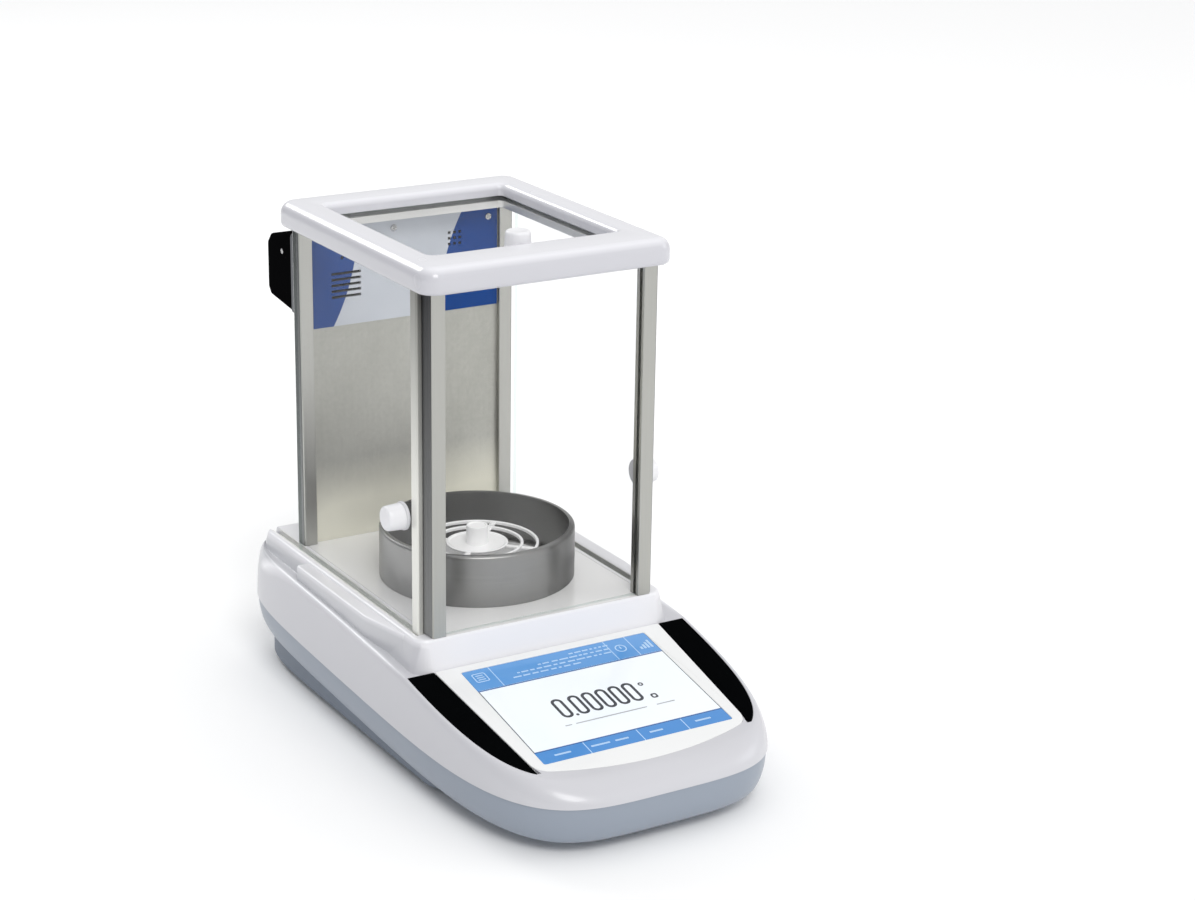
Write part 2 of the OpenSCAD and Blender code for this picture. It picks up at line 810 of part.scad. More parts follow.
// Plate that carries the sockets at the rear
module port_plate() {
  color("dimgray")
    translate([0, ports_y, ports_z])
      difference() {
        translate([-ports_w / 2, 0, 0]) cube([ports_w, 2, ports_h]);
        translate([jack_x, -over, ports_h / 2])
          rotate([-90, 0, 0]) cylinder(h = 2 + 2 * over, d = jack_d + 2 * socket_gap);
        for (port = [[data_x, data_size], [usb_x, usb_size]])
          translate([port[0], -over, ports_h / 2])
            rotate([-90, 0, 0])
              linear_extrude(2 + 2 * over)
                square([port[1].x + 2 * socket_gap, port[1].y + 2 * socket_gap], center = true);
      }
}

// Round inlet for the power plug
module power_jack() {
  color("black")
    translate([jack_x, ports_y + 4, ports_z + ports_h / 2])
      rotate([90, 0, 0]) {
        difference() {
          cylinder(h = 16, d = jack_d);
          translate([0, 0, -over]) cylinder(h = 12, d = 6.4);
        }
        translate([0, 0, 1]) cylinder(h = 12, d = 2);
      }
}

// Nine-way data socket
module data_port() {
  color("silver")
    translate([data_x, ports_y, ports_z + ports_h / 2])
      rotate([90, 0, 0]) {
        difference() {
          translate([-data_size.x / 2, -data_size.y / 2, -6]) cube([data_size.x, data_size.y, 18]);
          translate([-9, -4.2, -6 - over]) cube([18, 8.4, 6]);
        }
        for (row = [[5, 1.4], [4, -1.4]], i = [0:row[0] - 1])
          translate([(i - (row[0] - 1) / 2) * 2.8, row[1], -5]) cylinder(h = 5, r = 0.5, $fn = 16);
      }
}

// Flat data socket
module usb_port() {
  color("silver")
    translate([usb_x, ports_y, ports_z + ports_h / 2])
      rotate([90, 0, 0])
        difference() {
          translate([-usb_size.x / 2, -usb_size.y / 2, -3]) cube([usb_size.x, usb_size.y, 17]);
          translate([-6.4, -2.9, -3 - over]) cube([12.8, 3.4, 14]);
        }
}

// Screws that hold the base together, in the casting's columns
module casing_screws() {
  color("silver")
    for (side = [-1, 1], y = column_ys)
      translate([side * column_x, y, keel_gap - 0.5]) cylinder(h = 0.5, d = 7);
}

// Steel floor of the weighing chamber
module floor_plate() {
  color("lightgray")
    translate([0, 0, deck_h - floor_t])
      difference() {
        linear_extrude(floor_t) floor_plan();
        translate([0, pan_y, -over]) cylinder(h = floor_t + 2 * over, d = 24);
      }
}

// Channel that a side door runs in
module door_track(side) {
  color("silver")
    mirror([side < 0 ? 1 : 0, 0, 0])
      translate([door_mid - track_w / 2, door_y, deck_h - track_d])
        difference() {
          cube([track_w, track_end - door_y, track_d]);
          translate([track_t, -over, track_t])
            cube([track_w - 2 * track_t, track_end - door_y + 2 * over, track_d]);
        }
}

module door_track_left() {
  door_track(-1);
}

module door_track_right() {
  door_track(1);
}

// Extruded post with a slot for the pane or the wall and a groove for the door's seal
module post(side, y, slot_y, slot_w) {
  chamfer = 0.8;
  color("silver")
    mirror([side < 0 ? 1 : 0, 0, 0])
      translate([0, 0, deck_h])
        linear_extrude(shield_h)
          difference() {
            polygon([
              [post_x - post_s, y], [post_x - chamfer, y], [post_x, y + chamfer],
              [post_x, y + post_s - chamfer], [post_x - chamfer, y + post_s],
              [post_x - post_s, y + post_s]
            ]);
            translate([post_x - post_s - over, slot_y]) square([slot_in + over, slot_w]);
            translate([post_x - 1, y + post_s / 2 - 1.5]) square([1 + over, 3]);
          }
}

module post_front_left() {
  post(-1, shield_y, glass_y - 0.15, glass_t + 0.3);
}

module post_front_right() {
  post(1, shield_y, glass_y - 0.15, glass_t + 0.3);
}

module post_rear_left() {
  post(-1, shield_end - post_s, wall_y - 0.15, wall_slot);
}

module post_rear_right() {
  post(1, shield_end - post_s, wall_y - 0.15, wall_slot);
}

// Aluminium rails on top of the posts
module top_rails() {
  color("darkgray")
    translate([0, 0, rails_z])
      linear_extrude(top_rail_t)
        difference() {
          strip(2 * post_x, shield_y, shield_end);
          strip(2 * open_x, open_y, open_end);
        }
}

// Moulded frame round the top opening, with the slot for the top door
module top_frame() {
  section_out = [[-2.4, 0], [-0.6, 1.4], [0, 4], [0, 8.5], [-1, 12], [-3.2, 15], [-6, 16.9], [-9, 17.5]];
  section_in = [[4.6, 17.5], [2.4, 16.8], [0.8, 15.2], [0, 12.8], [0, 0]];
  stretch = frame_h / 17.5;
  outer = [for (s = section_out)
    block_ring(post_x + frame_out + s[0], shield_end + frame_out + s[0],
               shield_y - frame_out - s[0], frame_r + s[0], rails_z + s[1] * stretch)];
  inner = [for (s = section_in)
    block_ring(open_x + s[0], open_end + s[0], open_y - s[0], 4 + s[0], rails_z + s[1] * stretch)];
  color("white")
    difference() {
      loop_loft(concat(outer, inner));
      translate([0, 0, rails_z - over])
        linear_extrude(top_rail_t + over)
          strip(2 * post_x + 0.2, shield_y - 0.1, shield_end + 0.1);
      translate([0, 0, rails_z + top_rail_t - over])
        linear_extrude(over + top_slot_h)
          strip(2 * (top_glass_x + slide_gap), top_glass_y - slide_gap, base_l);
      mirrored()
        translate([door_x - slide_gap, door_y - slide_gap, rails_z - over])
          cube([rail_t + 2 * slide_gap, base_l, groove_z + over]);
    }
}

// Vent openings: x of the left edge, height of the lower edge, length and height
function vents() =
  let (low = rails_z - vent_panel_d - vent_panel_h)
  concat(
    [for (side = [-1, 1], i = [0:slot_count - 1])
      [side * (neck_x - 26) - slot_l / 2, low + 20 + i * slot_pitch, slot_l, slot_h]],
    [for (x = [26 - neck_x, neck_x - 36], col = [-1:1], row = [0:2])
      [x + col * slot_pitch, low + 48 + row * slot_pitch, slot_h + 0.4, slot_h]]);

// Steel rear wall with the vents' air holes
module rear_wall() {
  half_w = neck_x + 1 + slot_in - slide_gap;
  color("darkgray")
    difference() {
      translate([-half_w, wall_y, deck_h]) cube([2 * half_w, wall_t, shield_h]);
      for (vent = vents())
        translate([vent[0], wall_y - over, vent[1]])
          cube([vent[2], wall_t + 2 * over, vent[3]]);
    }
}

// Panel on the wall with the banks of vents
module vent_panel() {
  color("steelblue")
    difference() {
      translate([-neck_x, wall_y - vent_panel_t, rails_z - vent_panel_d - vent_panel_h])
        cube([2 * neck_x, vent_panel_t, vent_panel_h]);
      for (vent = vents())
        translate([vent[0], wall_y - vent_panel_t - over, vent[1]])
          cube([vent[2], vent_panel_t + 2 * over, vent[3]]);
    }
}

// Screws of the vent panel
module vent_panel_screws() {
  color("silver")
    for (x = [7.5 - neck_x, -10, neck_x - 7.5])
      translate([x, wall_y - vent_panel_t, rails_z - vent_panel_d - 7])
        rotate([90, 0, 0]) cylinder(h = 1.2, d1 = 5, d2 = 3.6);
}

// Flange behind the rear posts that carries the vent housing
module housing_flange() {
  z = housing_z - 2;
  color("dimgray")
    translate([0, shield_end + 0.3, 0])
      difference() {
        translate([-post_x, 0, z]) cube([2 * post_x, flange_t, housing_h + 4]);
        translate([-neck_x - fit_gap, -over, z + 4])
          cube([2 * (neck_x + fit_gap), flange_t + 2 * over, housing_h - 8]);
      }
}

// Housing behind the vents: a box on the flange with a neck that is open towards the wall
module vent_housing() {
  y = shield_end + 0.3 + flange_t;
  neck_y = wall_y + wall_t;
  t = 2;
  color("black")
    difference() {
      union() {
        translate([post_x, y, housing_z])
          rotate([0, -90, 0])
            linear_extrude(2 * post_x)
              polygon([[0, 0], [housing_h, 0], [housing_h - 5, housing_d - 6],
                       [housing_h - 12, housing_d], [9, housing_d], [4, housing_d - 5]]);
        translate([-neck_x, neck_y, housing_z + 3])
          cube([2 * neck_x, y - neck_y + over, housing_h - 10]);
      }
      translate([-neck_x + t, neck_y - over, housing_z + 3 + t])
        cube([2 * (neck_x - t), y - neck_y + housing_d - t - 5, housing_h - 10 - 2 * t]);
      for (x = [-48:8:48])
        translate([x - 1.5, y + housing_d - 10, housing_z + 15]) cube([3, 12, 24]);
    }
}

// Fixed front pane
module front_glass() {
  half_w = neck_x + 1 + slot_in - slide_gap;
  color("lightcyan", 0.3)
    translate([-half_w, glass_y, deck_h]) cube([2 * half_w, glass_t, shield_h]);
}

// Pane of a side door
module door_glass(side) {
  color("lightcyan", 0.3)
    mirror([side < 0 ? 1 : 0, 0, 0])
      translate([door_mid - glass_t / 2, door_y + rail_d - 3, door_z])
        cube([glass_t, door_end - door_y - rail_d + 3, door_top - door_z]);
}

// Rail on the front edge of a side door, with a slot that holds the pane
module door_rail(side) {
  color("silver")
    mirror([side < 0 ? 1 : 0, 0, 0])
      translate([door_x, door_y, door_z])
        linear_extrude(door_top - door_z)
          difference() {
            square([rail_t, rail_d]);
            translate([(rail_t - glass_t) / 2, rail_d - 3]) square([glass_t, 3 + over]);
          }
}

// Tapered knob on a collar, along +Z
module knob() {
  color("gray") cylinder(h = collar_h, d = knob_d + 1.4);
  color("white")
    translate([0, 0, collar_h]) {
      cylinder(h = knob_l - 1.5, d1 = knob_d, d2 = knob_tip_d);
      translate([0, 0, knob_l - 1.5]) cylinder(h = 1.5, d1 = knob_tip_d, d2 = knob_tip_d - 2.4);
    }
}

module door_knob(side) {
  mirror([side < 0 ? 1 : 0, 0, 0])
    translate([door_mid + glass_t / 2, side_knob_y, deck_h + knob_z])
      rotate([0, 90, 0]) knob();
}

module door_glass_left() {
  door_glass(-1);
}

module door_rail_left() {
  door_rail(-1);
}

module door_knob_left() {
  door_knob(-1);
}

module door_glass_right() {
  door_glass(1);
}

module door_rail_right() {
  door_rail(1);
}

module door_knob_right() {
  door_knob(1);
}

// Pane of the top door
module top_glass() {
  color("lightcyan", 0.3)
    translate([-top_glass_x, top_glass_y, top_glass_z])
      cube([2 * top_glass_x, open_end + 8 - top_glass_y, glass_t]);
}

module top_knob() {
  translate([0, top_knob_y, top_glass_z + glass_t]) knob();
}

// Open pan: a centre disc and two rims on four arms, with a hub that sits on the hanger
module weighing_pan() {
  z = deck_h + pan_h;
  disc_r = pan_d / 4;
  gap = (pan_d / 2 - disc_r) / 2;
  color("silver")
    translate([0, pan_y, 0]) {
      rotate_extrude()
        polygon([[0, z - 1.5], [disc_r - 1, z - 1.5], [disc_r - 1, z], [disc_r, z], [disc_r, z + 0.8],
                 [disc_r - 1.6, z + 0.8], [disc_r - 2.4, z], [0, z]]);
      for (r = [disc_r + gap, pan_d / 2])
        rotate_extrude()
          polygon([[r - 2.2, z - 1.5], [r - 0.8, z - 1.5], [r, z - 0.7], [r, z + 0.8], [r - 2.2, z + 0.8]]);
      for (a = [45:90:315])
        rotate(a)
          translate([disc_r - 2, -2, z - 1.5]) cube([pan_d / 2 - disc_r + 1, 4, 1.5]);
      translate([0, 0, z - 1]) cylinder(h = 14, d1 = 15.6, d2 = 15.2);
      difference() {
        translate([0, 0, deck_h + 6]) cylinder(h = pan_h - 7, r = 8);
        translate([0, 0, deck_h + 6 - over]) cylinder(h = 8.3 + over, r = 5.05);
      }
    }
}

// Spun wind ring with a rolled rim and a foot turned inwards
module wind_ring() {
  r = ring_d / 2;
  roll = 2.5;
  color("silver")
    translate([0, pan_y, deck_h])
      rotate_extrude($fn = 128)
        polygon(concat(
          [[r - 5, 0], [r, 0], [r, ring_h - roll]],
          [for (a = [15:15:90]) [r - roll + roll * cos(a), ring_h - roll + roll * sin(a)]],
          [[r - roll - 1.5, ring_h], [r - roll - 1.5, ring_h - ring_t]],
          [for (a = [90:-30:0])
            [r - roll + (roll - ring_t) * cos(a), ring_h - roll + (roll - ring_t) * sin(a)]],
          [[r - ring_t, ring_t], [r - 5, ring_t]]));
}

base_casting();
lower_shell();
upper_shell();
screen_bezel();
touch_screen();
display_panel();
display_board();
panel_insert_left();
panel_insert_right();
sensor_boards();
main_board();
weigh_cell();
magnet_pot();
balance_lever();
force_coil();
load_hanger();
calibration_motor();
calibration_lifter();
calibration_weight();
front_feet();
level_pad_left();
level_pad_right();
level_screw_left();
level_screw_right();
level_holder();
level_vial();
port_plate();
power_jack();
data_port();
usb_port();
casing_screws();
floor_plate();
door_track_left();
door_track_right();
post_front_left();
post_front_right();
post_rear_left();
post_rear_right();
top_rails();
top_frame();
rear_wall();
vent_panel();
vent_panel_screws();
housing_flange();
vent_housing();
front_glass();
door_glass_left();
door_rail_left();
door_knob_left();
door_glass_right();
door_rail_right();
door_knob_right();
top_glass();
top_knob();
weighing_pan();
wind_ring();
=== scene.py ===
import math
import random
from contextlib import contextmanager

import bmesh
import bpy
from mathutils import Matrix, Vector


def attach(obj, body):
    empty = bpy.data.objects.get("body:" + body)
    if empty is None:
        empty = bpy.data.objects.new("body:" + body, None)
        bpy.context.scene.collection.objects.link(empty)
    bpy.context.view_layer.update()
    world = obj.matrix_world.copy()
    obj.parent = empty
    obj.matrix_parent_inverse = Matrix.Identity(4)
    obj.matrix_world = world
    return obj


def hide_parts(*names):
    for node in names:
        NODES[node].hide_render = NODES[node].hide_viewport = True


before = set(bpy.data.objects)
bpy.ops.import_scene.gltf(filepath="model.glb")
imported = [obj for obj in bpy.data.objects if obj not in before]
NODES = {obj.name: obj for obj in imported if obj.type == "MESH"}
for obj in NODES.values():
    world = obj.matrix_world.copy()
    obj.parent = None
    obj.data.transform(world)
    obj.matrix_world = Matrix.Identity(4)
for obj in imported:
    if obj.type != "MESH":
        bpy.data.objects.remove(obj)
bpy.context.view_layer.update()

MM = 0.001

# The balance's sizes in millimetres, as in the construction
BASE_W, BASE_L = 228.0, 426.0
NOSE_Y, WIDEST_Y, TAIL_Y = -213.0, 11.0, 213.0
NOSE_N, TAIL_N = 4.0, 6.6
EDGE_IN, LIP_IN, TRAY_IN, KEEL_IN = 5.6, 19.5, 10.0, 11.5
WALL, SEAM_GAP, FIT = 3.0, 0.3, 0.25
DECK_H, DECK_X, DECK_END = 96.0, 94.5, 195.6
RISER_H, RISER_Y = 20.0, -55.0
PANEL_TILT = math.tan(math.radians(10.6))
LIFT = math.sqrt(1 + PANEL_TILT ** 2)
PANEL_REAR, PANEL_FRONT, BEZEL_X = -56.0, -181.0, 87.0
SCREEN_X, SCREEN_REAR, SCREEN_FRONT = 71.0, -63.0, -173.0
INLAY_LOW, INLAY_HIGH = -0.2, 0.05
RAILS_Z = 331.0
OPEN_X, OPEN_Y, OPEN_END = 70.0, -21.0, 136.6
POST_IN, POST_X, POST_S = 74.5, 84.5, 10.0
DOOR_X, DOOR_FRONT, DOOR_Z, GLASS = 88.0, -38.7, 92.1, 3.0
PAN_Y = 45.0
PAN_MIDDLE = (0, PAN_Y, 0)
LEVEL_SPOT = (52.0, 177.6, 0)
SCREW_X, SCREW_Y = 70.0, 179.0
SIDES = ((-1, "left"), (1, "right"))


# Tools for modelling

def only(*pieces):
    """Selects these pieces and nothing else, with the first one active."""
    bpy.ops.object.select_all(action="DESELECT")
    for piece in pieces:
        piece.select_set(True)
    bpy.context.view_layer.objects.active = pieces[0]


@contextmanager
def editing(piece):
    """The piece in edit mode with all of it selected."""
    only(piece)
    bpy.ops.object.mode_set(mode="EDIT")
    bpy.ops.mesh.select_all(action="SELECT")
    yield bmesh.from_edit_mesh(piece.data)
    bpy.ops.object.mode_set(mode="OBJECT")


def outwards():
    """Turns every face of the piece in edit mode outwards."""
    bpy.ops.mesh.select_all(action="SELECT")
    bpy.ops.mesh.normals_make_consistent(inside=False)


def started(add, name, **shape):
    """A new primitive, with nothing else selected and its place in its mesh."""
    bpy.ops.object.select_all(action="DESELECT")
    add(**shape)
    piece = bpy.context.object
    piece.name = piece.data.name = name
    bpy.ops.object.transform_apply(location=True, rotation=True, scale=True)
    return piece


def placed(piece, points):
    """Moves the piece's vertices to points in millimetres."""
    piece.data.vertices.foreach_set("co", [c * MM for p in points for c in p])
    piece.data.update()
    return piece


def applied(piece, kind, **settings):
    """The piece with a modifier applied."""
    only(piece)
    step = piece.modifiers.new(kind.lower(), kind)
    for key, value in settings.items():
        setattr(step, key, value)
    bpy.ops.object.modifier_apply(modifier=step.name)
    return piece


def sealed(piece):
    """The piece with doubled vertices merged and its faces outwards."""
    with editing(piece):
        bpy.ops.mesh.remove_doubles(threshold=2e-6)
        bpy.ops.mesh.dissolve_degenerate(threshold=1e-6)
        bpy.ops.mesh.delete_loose(use_verts=True, use_edges=True, use_faces=False)
        outwards()
    return piece


def eased(piece, width, steps=2, angle=30):
    """The piece with its sharp edges rounded."""
    return applied(piece, "BEVEL", width=width * MM, segments=steps, limit_method="ANGLE",
                   angle_limit=math.radians(angle))


def combined(piece, how, tools):
    """The piece after a boolean with each of the tools, which are used up."""
    for tool in tools:
        applied(piece, "BOOLEAN", operation=how, object=tool, solver="MANIFOLD")
        bpy.data.objects.remove(tool)
    return piece


def cut(piece, *tools):
    """The piece with the tools cut out of it."""
    return combined(piece, "DIFFERENCE", tools)


def fused(piece, *others):
    """The piece with the others welded to it as one solid."""
    return combined(piece, "UNION", others)


def gathered(name, pieces):
    """The pieces as one object of separate solids."""
    only(*pieces)
    bpy.ops.object.join()
    pieces[0].name = pieces[0].data.name = name
    return pieces[0]


def moved(piece, offset=(0, 0, 0), turn=0, axis="Z", about=(0, 0, 0)):
    """The piece's mesh turned in degrees about an axis, then moved."""
    here = Matrix.Translation(Vector(about) * MM)
    piece.data.transform(Matrix.Translation(Vector(offset) * MM) @ here
                         @ Matrix.Rotation(math.radians(turn), 4, axis) @ here.inverted())
    return piece


def reflected(piece):
    """The piece's mesh mirrored to the other side of the object."""
    piece.data.transform(Matrix.Scale(-1, 4, (1, 0, 0)))
    piece.data.flip_normals()
    return piece


def mirrored(piece, name):
    """A copy on the other side of the object, with its own mesh."""
    twin = piece.copy()
    twin.data = piece.data.copy()
    twin.name = twin.data.name = name
    bpy.context.collection.objects.link(twin)
    return reflected(twin)


def arc(x, y, r, angles):
    """Points of a circle about (x, y) at angles in degrees."""
    return [(x + r * math.cos(math.radians(a)), y + r * math.sin(math.radians(a))) for a in angles]


def rounded(corners, steps=5):
    """Closed outline through corners (x, y, radius), each rounded by an arc."""
    points = []
    for i, corner in enumerate(corners):
        here = Vector(corner[:2])
        radius = corner[2] if len(corner) > 2 else 0
        if not radius:
            points.append(tuple(here))
            continue
        back = (Vector(corners[i - 1][:2]) - here).normalized()
        on = (Vector(corners[(i + 1) % len(corners)][:2]) - here).normalized()
        half = math.acos(max(-1, min(1, back.dot(on)))) / 2
        reach = radius / math.tan(half)
        centre = here + (back + on).normalized() * radius / math.sin(half)
        first, last = here + back * reach - centre, here + on * reach - centre
        sweep = first.angle_signed(last)
        for k in range(steps + 1):
            a = -sweep * k / steps
            points.append((centre.x + first.x * math.cos(a) - first.y * math.sin(a),
                           centre.y + first.x * math.sin(a) + first.y * math.cos(a)))
    return points


def lofted(name, rings, around=False):
    """Skin through closed rings of equal length; around joins the last ring to the first."""
    rows = [[*ring, ring[0]] for ring in rings]
    if around:
        rows.append(rows[0])
    piece = started(bpy.ops.mesh.primitive_grid_add, name,
                    x_subdivisions=len(rows[0]) - 1, y_subdivisions=len(rows) - 1, size=2)
    return sealed(placed(piece, [p for row in rows for p in row]))


def filled(piece):
    """The piece with each open rim closed by one face."""
    with editing(piece) as mesh:
        bpy.ops.mesh.select_all(action="DESELECT")
        bpy.ops.mesh.select_mode(type="EDGE")
        for edge in mesh.edges:
            if edge.is_boundary:
                edge.select_set(True)
        bmesh.update_edit_mesh(piece.data)
        bpy.ops.mesh.edge_face_add()
        outwards()
    return piece


AXES = {"X": lambda u, v, w: (w, u, v), "Y": lambda u, v, w: (u, w, v), "Z": lambda u, v, w: (u, v, w)}


def extruded(name, outline, start, run, axis="Z"):
    """Solid of a flat outline, drawn out from start by run along an axis."""
    way = AXES[axis]
    piece = started(bpy.ops.mesh.primitive_circle_add, name, vertices=len(outline), fill_type="NGON")
    placed(piece, [way(u, v, start) for u, v in outline])
    with editing(piece):
        bpy.ops.mesh.extrude_region_move(TRANSFORM_OT_translate={"value": Vector(way(0, 0, run)) * MM})
        outwards()
    return piece


def block(name, low, high, ease=0, steps=2):
    """Box between two corners, with its edges rounded."""
    size = Vector(high) - Vector(low)
    piece = started(bpy.ops.mesh.primitive_cube_add, name, size=MM, scale=size,
                    location=(Vector(high) + Vector(low)) * MM / 2)
    return eased(piece, ease, steps) if ease else piece


def turned(name, section, centre=(0, 0, 0), steps=96):
    """Solid of a closed section (radius, height), spun about the upright axis through centre."""
    piece = started(bpy.ops.mesh.primitive_circle_add, name, vertices=len(section), fill_type="NOTHING")
    placed(piece, [(r, 0, h) for r, h in section])
    with editing(piece):
        bpy.ops.mesh.spin(steps=steps, angle=2 * math.pi, center=(0, 0, 0), axis=(0, 0, 1))
    return moved(sealed(piece), offset=centre)


# Finishes

class Flow:
    """A socket's value in a material. Arithmetic on it adds Math nodes."""

    def __init__(self, look, socket):
        self.look, self.socket = look, socket

    def step(self, kind, *values, **settings):
        return self.look.node("Math", dict(operation=kind, **settings), *values)

    def __add__(self, other): return self.step("ADD", self, other)
    def __radd__(self, other): return self.step("ADD", other, self)
    def __sub__(self, other): return self.step("SUBTRACT", self, other)
    def __rsub__(self, other): return self.step("SUBTRACT", other, self)
    def __mul__(self, other): return self.step("MULTIPLY", self, other)
    def __truediv__(self, other): return self.step("DIVIDE", self, other)
    def __pow__(self, other): return self.step("POWER", self, other)
    def below(self, other): return self.step("LESS_THAN", self, other)
    def above(self, other): return self.step("GREATER_THAN", self, other)
    def size(self): return self.step("ABSOLUTE", self)
    def held(self): return self.step("ADD", self, 0.0, use_clamp=True)

    def ramp(self, start, slope):
        """0 at start, changing by slope per unit, held between 0 and 1."""
        return ((self - start) * slope).held()

    def lines(self, places, half):
        """1 within half of any of the places, 0 elsewhere."""
        return sum((self - place).size().below(half) for place in places).held()


class Look:
    """A material. Constants go on the shader's sockets, and what varies is linked to them."""

    def __init__(self, name, colour, rough=0.5, metal=0.0, **constants):
        self.material = bpy.data.materials.new(name)
        self.material.use_nodes = True
        self.tree = self.material.node_tree
        self.shader = self.tree.nodes["Principled BSDF"]
        self.set("Base Color", colour)
        self.set("Roughness", rough)
        self.set("Metallic", metal)
        for key, value in constants.items():
            self.set(key.replace("_", " "), value)
        self.material.diffuse_color = (*colour[:3], 1)

    def set(self, socket, value):
        """Puts a constant or a flow on a socket of the shader."""
        self.feed(self.shader.inputs[socket], value)

    def feed(self, socket, value):
        if isinstance(value, Flow):
            self.tree.links.new(value.socket, socket)
        elif value is not None:
            if socket.type == "RGBA" and len(value) == 3:
                value = (*value, 1)
            socket.default_value = value

    def node(self, kind, settings=None, *values, out=0, **named):
        """A node's output. Settings come first, then its sockets by place or by name."""
        node = self.tree.nodes.new("ShaderNode" + kind)
        for key, value in (settings or {}).items():
            setattr(node, key, value)
        for socket, value in zip(node.inputs, values):
            self.feed(socket, value)
        for key, value in named.items():
            self.feed(node.inputs[key.replace("_", " ")], value)
        return Flow(self, node.outputs[out])

    def place(self, scale=(1, 1, 1)):
        """Object coordinates, stretched by scale."""
        spot = self.node("TexCoord", out="Object")
        return self.node("Mapping", None, Vector=spot, Scale=scale)

    def axes(self):
        """The object coordinates x, y and z."""
        spot = self.node("TexCoord", out="Object")
        return [self.node("SeparateXYZ", None, spot, out=i) for i in range(3)]

    def noise(self, scale, stretch=(1, 1, 1), detail=3.0, rough=0.5, at=None):
        return self.node("TexNoise", None, Vector=at or self.place(stretch), Scale=scale,
                         Detail=detail, Roughness=rough)

    def blended(self, mask, first, second):
        """The colour first where the mask is 0 and second where it is 1."""
        node = self.tree.nodes.new("ShaderNodeMix")
        node.data_type = "RGBA"
        for key, value in (("Factor_Float", mask), ("A_Color", first), ("B_Color", second)):
            socket = next(s for s in node.inputs if s.identifier == key)
            self.feed(socket, value)
        return Flow(self, next(s for s in node.outputs if s.identifier == "Result_Color"))

    def surface(self, colour, rough, height=None, depth=0.0):
        """Puts colour and roughness on the shader, and bump of a depth in millimetres if a height flow is given."""
        self.set("Base Color", colour)
        self.set("Roughness", rough)
        if height:
            self.set("Normal", self.node("Bump", None, Height=height, Strength=1.0, Distance=depth * MM))
        return self


def srgb(r, g, b):
    """Linear colour of an 8-bit display colour."""
    return tuple((c / 255 / 12.92) if c <= 10 else ((c / 255 + 0.055) / 1.055) ** 2.4 for c in (r, g, b))


def tones(colour, low, high):
    """A darker and a lighter tone of a colour, by their factors."""
    return tuple(c * low for c in colour), tuple(min(1, c * high) for c in colour)


def moulded(name, colour, rough, grain=0.02, grain_size=0.5, drift=0.04, **constants):
    """Moulded or painted surface: fine texture, slow changes of tone and of gloss."""
    look = Look(name, colour, rough, **constants)
    slow = look.noise(9, detail=2.0)
    fine = look.noise(1000 / grain_size, detail=2.0)
    return look.surface(look.blended(slow, *tones(colour, 1 - drift, 1 + drift)),
                        rough + (slow - 0.5) * 0.08, grain and fine, grain)


def brushed(name, colour, rough, grain, depth=0.006, streak=0.10, metal=1.0):
    """Metal with brush lines; grain stretches the lines by axis, in lines per metre."""
    look = Look(name, colour, rough, metal)
    lines = look.noise(1.0, grain, detail=4.0, rough=0.6)
    cloud = look.noise(14, detail=3.0)
    mask = (lines - 0.5) * 2.2 * streak + (cloud - 0.5) * 0.12 + 0.5
    return look.surface(look.blended(mask.held(), *tones(colour, 0.72, 1.22)),
                        rough + (lines - 0.5) * 0.25 + (cloud - 0.5) * 0.1, lines, depth)


def retouched(look, share, other):
    """The look with its colour passing over to another one by share."""
    socket = look.shader.inputs["Base Color"]
    look.set("Base Color", look.blended(share, Flow(look, socket.links[0].from_socket), other))
    return look


def shaded(look, top, low=0.10, high=0.33):
    """The look with painted shade towards the top: its colour passes over to another one, from the height low to the
    height high.
    """
    return retouched(look, ((look.axes()[2] - low) / (high - low)).held(), top)


def spun(name, colour, rough, lines, depth, streak, dark, metal=1.0, painted_reflections=()):
    """Metal turned about the pan's axis. Painted reflections (facing, narrowness, weight) darken it from a side."""
    look = Look(name, colour, rough, metal)
    x, y, z = look.axes()
    y = y - PAN_Y * MM
    radius = (x * x + y * y) ** 0.5
    angle = look.node("Math", {"operation": "ARCTAN2"}, y, x)
    spot = look.node("CombineXYZ", None, radius * lines, z * lines, angle * 0.6)
    rings = look.noise(1.0, at=spot, detail=3.0, rough=0.6)
    cloud = look.noise(16, detail=3.0)
    mask = (rings - 0.5) * 2.2 * streak + (cloud - 0.5) * 0.12 + 0.5
    # Painted reflections: each one darkens the metal on the side it faces.
    for facing, narrow, weight in painted_reflections:
        turn = math.radians(facing)
        mask = mask - ((x * math.cos(turn) + y * math.sin(turn)) / radius).held() ** narrow * weight
    return look.surface(look.blended(mask.held(), *tones(colour, dark, 1.2)),
                        rough + (rings - 0.5) * 0.2 + (cloud - 0.5) * 0.08, rings, depth)


def clear(name, tint, strength):
    """Pane that light passes straight through, with a mirror's share by the viewing angle."""
    look = Look(name, (1.0, 1.0, 1.0), 0.02, 1.0)
    haze = look.noise(22, detail=3.0)
    look.set("Roughness", 0.02 + haze * 0.05)
    through = look.node("BsdfTransparent", None, tint)
    share = look.node("Fresnel", None, IOR=1.45) * strength + haze * 0.004
    mixed = look.node("MixShader", None, share, through, Flow(look, look.shader.outputs[0]))
    look.feed(look.tree.nodes["Material Output"].inputs["Surface"], mixed)
    return look


def done(piece, look, body, *hides, slot=None, smooth=35, flat=False):
    """Gives a finished piece its surface, its body and the nodes that it stands for."""
    piece.data.materials.clear()
    piece.data.materials.append(look.material)
    only(piece)
    bpy.ops.object.shade_smooth_by_angle(angle=math.radians(11 if flat else smooth))
    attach(piece, body)
    if hides:
        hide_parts(*hides)
    return piece


# Surfaces

